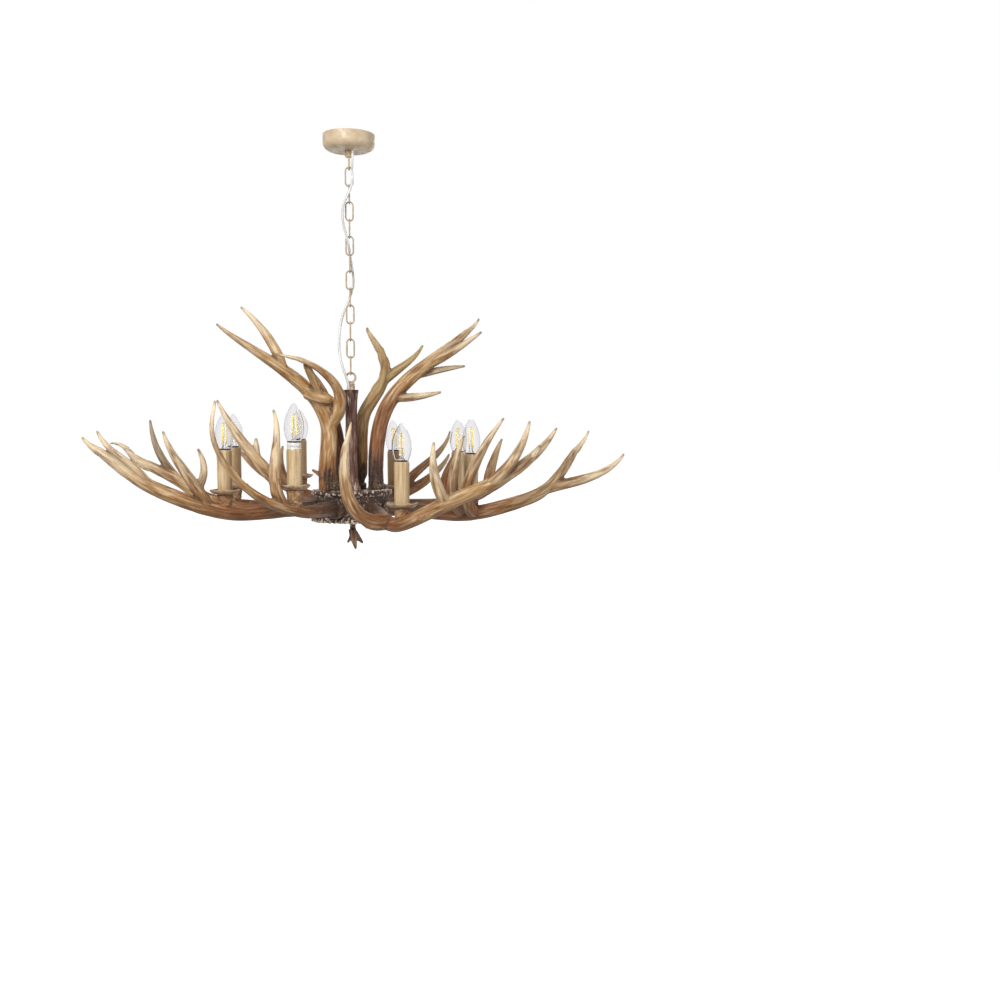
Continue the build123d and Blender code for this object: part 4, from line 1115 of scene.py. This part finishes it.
def copies_tree():
    """One shape set out on every point, each turned by a random angle."""
    tree, given, out = new_group("copies_on_points", "GeometryNodeTree", {
        "Geometry": "Geometry", "Shape": "Object", "Turn": 2 * math.pi, "Seed": 0, "Finish": "Material"},
        {"Geometry": "Geometry"})
    shape = add(tree, "GeometryNodeObjectInfo", {"Object": given["Shape"], "As Instance": True}, "Geometry")
    angle = add(tree, "FunctionNodeRandomValue", {2: 0.0, 3: given["Turn"], "Seed": given["Seed"]}, 1,
                data_type="FLOAT")
    turn = add(tree, "ShaderNodeCombineXYZ", {"Z": angle})
    copies = add(tree, "GeometryNodeInstanceOnPoints", {
        "Points": given["Geometry"], "Instance": shape, "Rotation": turn})
    dress(out, add(tree, "GeometryNodeRealizeInstances", {"Geometry": copies}), given["Finish"])
    return tree


copies_on_points = copies_tree()


def set_out(name, shape, finish, seed=0):
    """Copies of a shape at each light's foot, as one plain mesh; the shape itself is used up."""
    mesh = bpy.data.meshes.new(name)
    mesh.from_pydata([(x * MM, y * MM, foot * MM) for x, y, foot, _, _ in LIGHTS.values()], [], [])
    piece = grow(put(name, mesh, None), copies_on_points, Shape=shape, Turn=2 * math.pi, Seed=seed,
                 Finish=finish)
    bpy.data.objects.remove(shape)
    return piece


def cup_sockets(tree):
    """Umber resin, mottled like burr, rubbed pale along the lip."""
    spots = use_group(tree, wear, Edge=0.53, Hollow=0.47, Grain=0.004)
    cloud = patch(tree, 9, 0.36, 0.68)
    coat = blend(cloud, (0.19, 0.095, 0.042), (0.36, 0.22, 0.11))
    coat = blend(patch(tree, 1.8, 0.52, 0.68) * 0.25, coat, (0.07, 0.034, 0.018))
    coat = blend(spots["Worn"] * 0.8, coat, (0.66, 0.50, 0.32))
    coat = blend(spots["Grime"] * 0.5, coat, (0.05, 0.024, 0.014))
    return {"Base Color": coat, "Roughness": cloud * 0.2 + 0.38, "Normal": bump(cloud, 0.35, 0.6)}


dish = put("dish", lathe("dish", [
    (4.1, 0), (10, 0.1), (14, 0), (18, 0.2), (21, 1.2), (24.3, 3.4), (26.6, 6.3), (27.3, 7.0), (28.2, 6.9),
    (CUP_R, 6.1), (26.3, 3.0), (23, 0.2), (20, -1.3), (17, -CUP_SHEET), (10, -CUP_SHEET), (4.1, -CUP_SHEET),
], 96), None)
for vertex in dish.data.vertices:
    x, y, z = vertex.co
    lip = max(0.0, (math.hypot(x, y) / MM - LIP_START) / (CUP_R - LIP_START))
    angle = math.atan2(y, x)
    wave = math.sin(5 * angle) + 0.6 * math.sin(8 * angle + 1.3) + 0.35 * math.sin(13 * angle + 0.4)
    pinch = 1 - 0.025 * lip * (1 + math.sin(7 * angle))
    vertex.co = (x * pinch, y * pinch, z + 0.55 * MM * wave * lip * lip)
cups = set_out("drip_cups", dish, finish_material("cup_finish", cup_sockets), seed=4)
fit(cups, "fixture", "cup_resin", "drip_cups")

# ---- lampholders ------------------------------------------------------------------------------
# White E14 lampholders: a slim stem on the tube's end that opens into the ribbed socket. They stand
# inside the sleeves, where only their rims show. One sleeve sits low and bares its holder's band.

CANDLE = 80
HOLDER_R = 12.5
RIB_DIP = 0.4

holder_outline = [(2.8, 0), (6.0, 0), (6.5, 0.6), (6.5, 41.6), (HOLDER_R - RIB_DIP, 47.6)]
for low in (49, 53, 57, 61):
    holder_outline += [(HOLDER_R, low), (HOLDER_R, low + 2.4), (HOLDER_R - RIB_DIP, low + 2.8),
                       (HOLDER_R - RIB_DIP, low + 3.6)]
holder_outline += [(HOLDER_R, 66), (HOLDER_R, 70.5), (12.0, 71), (12.0, 72.5), (HOLDER_R, 73),
                   (HOLDER_R, 79.2), (11.8, CANDLE), (7.6, CANDLE), (7.0, 79.4), (7.0, 53), (2.8, 53)]
holder = put("holder", lathe("holder", holder_outline, 64), None)
fit(set_out("lampholders", holder, white_plastic), "fixture", "holder_plastic", "lampholders")

# ---- candle sleeves ---------------------------------------------------------------------------
# Eight card tubes 28 mm across, dipped in cream resin that has run down in a few thin drips, with
# brown specks and painted shade on the side towards the post. They stand in the cups and hide the
# lampholders.

SLEEVE_R = 14
SLEEVE_BORE_R = 12.8
SLEEVE_TURNS = 128
SLEEVE_RINGS = 54


def sleeve_mesh(name, height, dice):
    """A tube with drips: each runs from the lip part of the way down and ends in a bead."""
    drips = [(dice.uniform(0, 2 * math.pi), dice.uniform(0.12, 0.62) * height, dice.uniform(0.09, 0.16),
              dice.uniform(0.25, 0.55)) for _ in range(9)]
    angle = 2 * math.pi * np.arange(SLEEVE_TURNS) / SLEEVE_TURNS
    rings = []
    for z in np.linspace(0, height, SLEEVE_RINGS + 1):
        radius = SLEEVE_R - 0.45 - 0.5 * math.exp(-((height - z) / 1.6) ** 2)
        radius = radius + 0.075 * np.sin(3 * angle + 0.09 * z) * (z / height)
        for place, run, width, thick in drips:
            turn = ((angle - place + math.pi) % (2 * math.pi) - math.pi) / width
            below = (height - z) - run
            bead = math.exp(-((below + 1.8) / 1.9) ** 2) * 0.5
            body = 1 / (1 + math.exp(min(40.0, below / 0.5)))
            radius = radius + thick * np.exp(-turn * turn) * (body + bead)
        rings.append(circle(radius, z, SLEEVE_TURNS))
    return shell_of(name, rings + [circle(SLEEVE_BORE_R, z, SLEEVE_TURNS) for z in (height, 0)], loop=True)


def sleeve_sockets(tree):
    """Cream resin with painted shade on the post's side, brown in the hollows, and faint upright smears."""
    upright = vector("MULTIPLY", add(tree, "ShaderNodeTexCoord", out="Object"), (260.0, 260.0, 22.0))
    smear = noise(upright, 1.0, 4.0)
    spots = use_group(tree, wear, Edge=0.55, Hollow=0.475, Grain=0.004)
    coat = ramp(smear, {0.30: (0.38, 0.245, 0.115), 0.47: (0.54, 0.385, 0.21), 0.65: (0.69, 0.53, 0.315)})
    coat = blend(patch(tree, 20, 0.35, 0.7) * 0.30, coat, (0.54, 0.36, 0.18))
    # Painted shade on the side that faces the post
    coat = blend(attribute(tree, "hubward_shade"), coat, (0.25, 0.135, 0.055))
    coat = blend(spots["Grime"] * 0.5, coat, (0.22, 0.12, 0.055))
    coat = blend(patch(tree, 2.4, 0.62, 0.70) * 0.30, coat, (0.20, 0.11, 0.05))
    return {"Base Color": coat, "Roughness": smear * 0.25 + 0.32, "Normal": bump(smear, 0.25, 0.4)}


sleeve_finish = finish_material("sleeve_finish", sleeve_sockets)
dice = random.Random(21)
for arm, (x, y, foot, _, bare) in LIGHTS.items():
    mesh = sleeve_mesh(f"candle_sleeve_{arm}", CANDLE - bare, dice)
    # How far each point faces the post, for the painted shade on that side
    facing = -(rows_of(mesh.vertices, "co")[:, :2] @ (x, y)) / math.hypot(x, y) / (SLEEVE_R * MM)
    store(mesh, "hubward_shade", 0.8 * edge_step(-0.45, 0.85, facing))
    mesh.transform(Matrix.Translation((x * MM, y * MM, foot * MM)))
    fit(put(f"candle_sleeve_{arm}", mesh, sleeve_finish), "fixture", "sleeve_card", f"candle_sleeve_{arm}")

# ---- bulbs ------------------------------------------------------------------------------------
# Clear candle bulbs, 35 mm across: a blown envelope on a black collar and an aluminium screw cap,
# with a glass stem inside that holds four yellow filaments on thin wires.

BULB_R = 17.7
BULB_HEIGHT = 68.3
BULB_BELLY = 25
BULB_TIP_R = 4.4
BULB_GLASS = 0.8
BULB_NECK_R = 12.2
BULB_FOOT = 3
CAP_R = 6.7
CAP_LENGTH = 25
CAP_TURNS = 40
CAP_RINGS = 60
THREAD_PITCH = 2.82
FILAMENT_RING_R = 4.8
FILAMENT_LOW, FILAMENT_TOP = 11, 49
FILAMENT_R = 1.2
FILAMENT_LEAN = 0.9
WIRE_R = 0.3


def candle_outline(inset):
    """The side of a candle bulb from its neck to its point: three arcs that run into each other."""
    neck_r, girth, tip_r = BULB_NECK_R - inset, BULB_R - inset, BULB_TIP_R - inset
    drop, rise = BULB_BELLY - BULB_FOOT, BULB_HEIGHT - BULB_TIP_R - BULB_BELLY
    lower_r = ((girth - neck_r) ** 2 + drop ** 2) / (2 * (girth - neck_r))
    upper_r = (girth ** 2 + rise ** 2 - tip_r ** 2) / (2 * (girth - tip_r))
    below = -math.degrees(math.asin(drop / lower_r))
    above = math.degrees(math.atan2(rise, upper_r - girth))
    side = arc(girth - lower_r, BULB_BELLY, lower_r, below, 0, 14)[:-1]
    side += arc(girth - upper_r, BULB_BELLY, upper_r, 0, above, 24)[:-1]
    return side + arc(0, BULB_HEIGHT - BULB_TIP_R, tip_r, above, 90, 8)


def glass_sockets(tree):
    """Clear glass with a breath of dust on it, and painted shade that greys it towards its rim."""
    edge_on = add(tree, "ShaderNodeLayerWeight", {"Blend": 0.5}, "Facing")
    # Painted shade: the glass greys towards its rim, where it is seen edge on
    glass_and_rim_shade = ramp(edge_on, {0.0: (0.93, 0.925, 0.93), 0.55: (0.87, 0.86, 0.875), 1.0: (0.50, 0.48, 0.52)})
    return {"Base Color": glass_and_rim_shade, "Roughness": patch(tree, 12, 0.45, 0.85) * 0.03}


def plain_finish(name, colour, rough, size, **constants):
    """A plain finish with a little unevenness in its gloss and shade."""
    aged = tuple(part * 0.78 for part in colour)
    return finish_material(name, plain_sockets(colour, aged, rough, 0.15, size), **constants)


bulb_clear = finish_material("bulb_clear", glass_sockets, Transmission_Weight=1.0, IOR=1.08)
stem_clear = finish_material("stem_clear", glass_sockets, Transmission_Weight=1.0, IOR=1.12)
collar_black = plain_finish("collar_black", (0.035, 0.033, 0.03), 0.35, 4)
cap_metal = plain_finish("cap_metal", (0.70, 0.69, 0.67), 0.28, 3, Metallic=1.0)
# The filaments' faint emission is a painted glow; the bulbs light nothing
filament_yellow = plain_finish("filament_yellow", (0.88, 0.70, 0.22), 0.5, 2,
                               Emission_Color=(1.0, 0.80, 0.30, 1), Emission_Strength=0.22)
wire_metal = plain_finish("wire_metal", (0.55, 0.53, 0.50), 0.3, 2, Metallic=1.0)


def cap_mesh():
    """The screw cap: a rolled thread, drawn in to a solder contact at its foot."""
    foot = 5 - CAP_LENGTH
    angle = 2 * math.pi * np.arange(CAP_TURNS) / CAP_TURNS
    rings = [circle(r, z - CAP_LENGTH, CAP_TURNS) for r, z in ((2.4, 0.2), (3.2, 1.4), (5.6, 3))]
    for z in np.linspace(foot, 0, CAP_RINGS + 1):
        calm = min(1.0, max(0.0, (-z - 2) / 2)) * min(1.0, (z - foot) / 2)
        radius = CAP_R - 0.45 + 0.42 * np.cos(2 * math.pi * z / THREAD_PITCH - angle) * calm
        rings.append(circle(radius, z, CAP_TURNS))
    return shell_of("cap", rings, caps=True)


def rod_mesh(start, stop, radius, sides):
    """A thin straight rod with closed ends."""
    start, stop = Vector(start) * MM, Vector(stop) * MM
    return tube_mesh("rod", [start, (start + stop) / 2, stop], radius * MM, sides)


posts = [(x / MM, y / MM) for x, y, _ in circle(FILAMENT_RING_R, 0, 8)[1::2]]
crest = (0, 0, FILAMENT_TOP + 1.5)
for arm, (x, y, foot, _, _) in LIGHTS.items():
    heads = [(px * FILAMENT_LEAN, py * FILAMENT_LEAN, FILAMENT_TOP) for px, py in posts]
    feet = [(px, py, FILAMENT_LOW) for px, py in posts]
    wires = [((px * 0.5, py * 0.5, 8), (px, py, FILAMENT_LOW)) for px, py in posts]
    wires += [(head, crest) for head in heads] + [((0, 0, 24), crest)]
    pieces = {
        "bulb_glass": ([lathe("envelope", candle_outline(0.0) + candle_outline(BULB_GLASS)[::-1], 64)],
                       bulb_clear),
        "bulb_cap": ([cap_mesh()], cap_metal),
        "bulb_collar": ([lathe("collar", [
            (0, 0), (CAP_R, 0), (CAP_R + 0.5, 0.5), (BULB_NECK_R - 0.5, 0.5), (BULB_NECK_R, 1),
            (BULB_NECK_R, BULB_FOOT), (0, BULB_FOOT)], 48, closed=False)], collar_black),
        "bulb_stem": ([lathe("stem", [
            (0, 3.1), (7.5, 3.1), (4.6, 5), (3.0, 8), (2.6, 11), (3.0, 13), (1.7, 15), (1.5, 22), (1.9, 24),
            (0, 25)], 32, closed=False)], stem_clear),
        "bulb_filaments": ([rod_mesh(low, high, FILAMENT_R, 12) for low, high in zip(feet, heads)],
                           filament_yellow),
        "bulb_wires": ([rod_mesh(*ends, WIRE_R, 6) for ends in wires], wire_metal),
    }
    nodes = {"bulb_glass": [f"bulb_glass_{arm}"], "bulb_cap": [f"bulb_core_{arm}"]}
    for kind, (meshes, finish) in pieces.items():
        piece = joined(f"{kind}_{arm}", meshes, finish)
        piece.data.transform(Matrix.Translation((x * MM, y * MM, (foot + CANDLE) * MM)))
        slot = "bulb_glass" if kind in ("bulb_glass", "bulb_stem") else "bulb_metal"
        fit(piece, f"bulb_{arm}", slot, *nodes.get(kind, ()))

# ---- steel and wires inside -------------------------------------------------------------------
# What the canopy and castings hide: the bracket and its nuts, the threaded tube, the bent arm
# tubes, studs and nuts, the white leads in the post and arms, and the blocks that join the leads.

wire_white = plain_finish("wire_white", (0.72, 0.72, 0.70), 0.35, 4)
nylon = plain_finish("nylon", (0.74, 0.73, 0.68), 0.4, 6)
inside_finishes = {
    "ceiling_bracket": zinc, "canopy_nipple": zinc, "canopy_nuts": zinc, "centre_tube": zinc,
    "tube_nuts": chain_paint, "crown_studs": zinc, "stud_nuts": zinc, "arm_tubes": zinc,
    "inner_lead": wire_white, "lamp_flexes": wire_white, "hub_connector": nylon, "terminal_block": nylon,
}
for node, finish in inside_finishes.items():
    mesh = frame["nodes"][node].data
    mesh.materials.clear()
    mesh.materials.append(finish)

# ---- room -------------------------------------------------------------------------------------
# A plain pale floor, far below, as under a hung lamp, white light all round, and three soft lamps:
# a strong one in front and above, and weaker ones at the right and behind. Places are in metres.

FLOOR_Z = -2.35
FLOOR_SIZE = 40.0
FLOOR_LIFT = (0.84, 0.84, 0.84)


def looked_at(tree):
    """1 where the camera, a reflection or a view through glass meets the surface, else 0."""
    seen, glossy, through = (add(tree, "ShaderNodeLightPath", out=f"Is {ray} Ray")
                             for ray in ("Camera", "Glossy", "Transmission"))
    return maths("MAXIMUM", seen, maths("MAXIMUM", glossy, through))


def floor_sockets(tree):
    """A matt pale floor that looks white, and still takes the lamp's shadow."""
    return {"Base Color": blend(patch(tree, 500, 0.3, 0.7), (0.82, 0.82, 0.82), (0.80, 0.80, 0.80)),
            "Emission Color": blend(looked_at(tree), (0, 0, 0), FLOOR_LIFT)}


corners = [(x * FLOOR_SIZE, y * FLOOR_SIZE, FLOOR_Z) for x, y in ((-1, -1), (1, -1), (1, 1), (-1, 1))]
floor_mesh = bpy.data.meshes.new("floor")
floor_mesh.from_pydata(corners, [], [(0, 1, 2, 3)])
matt = finish_material("floor", floor_sockets, Roughness=0.9, Emission_Strength=1.0)
put("floor", floor_mesh, matt, smooth=False)

world = bpy.data.worlds.new("room")
bpy.context.scene.world = world
world.use_nodes = True
background = world.node_tree.nodes["Background"].inputs
background["Color"].default_value = (1, 1, 1, 1)
settle(background, {"Strength": looked_at(world.node_tree) * 0.68 + 0.32})

for name, place, size, power in (
    ("key", (-0.9, -2.0, 0.55), 1.2, 50),
    ("fill", (1.9, -1.2, -0.2), 1.6, 12),
    ("back", (0.6, 2.0, 0.4), 1.4, 14),
):
    light = bpy.data.lights.new(name, "AREA")
    light.shape = "DISK"
    light.size = size
    light.energy = power
    holder = bpy.data.objects.new(name, light)
    holder.location = place
    holder.rotation_euler = (Vector((0, 0, -0.6)) - Vector(place)).to_track_quat("-Z", "Y").to_euler()
    bpy.context.scene.collection.objects.link(holder)

bpy.context.scene.view_settings.view_transform = "Standard"
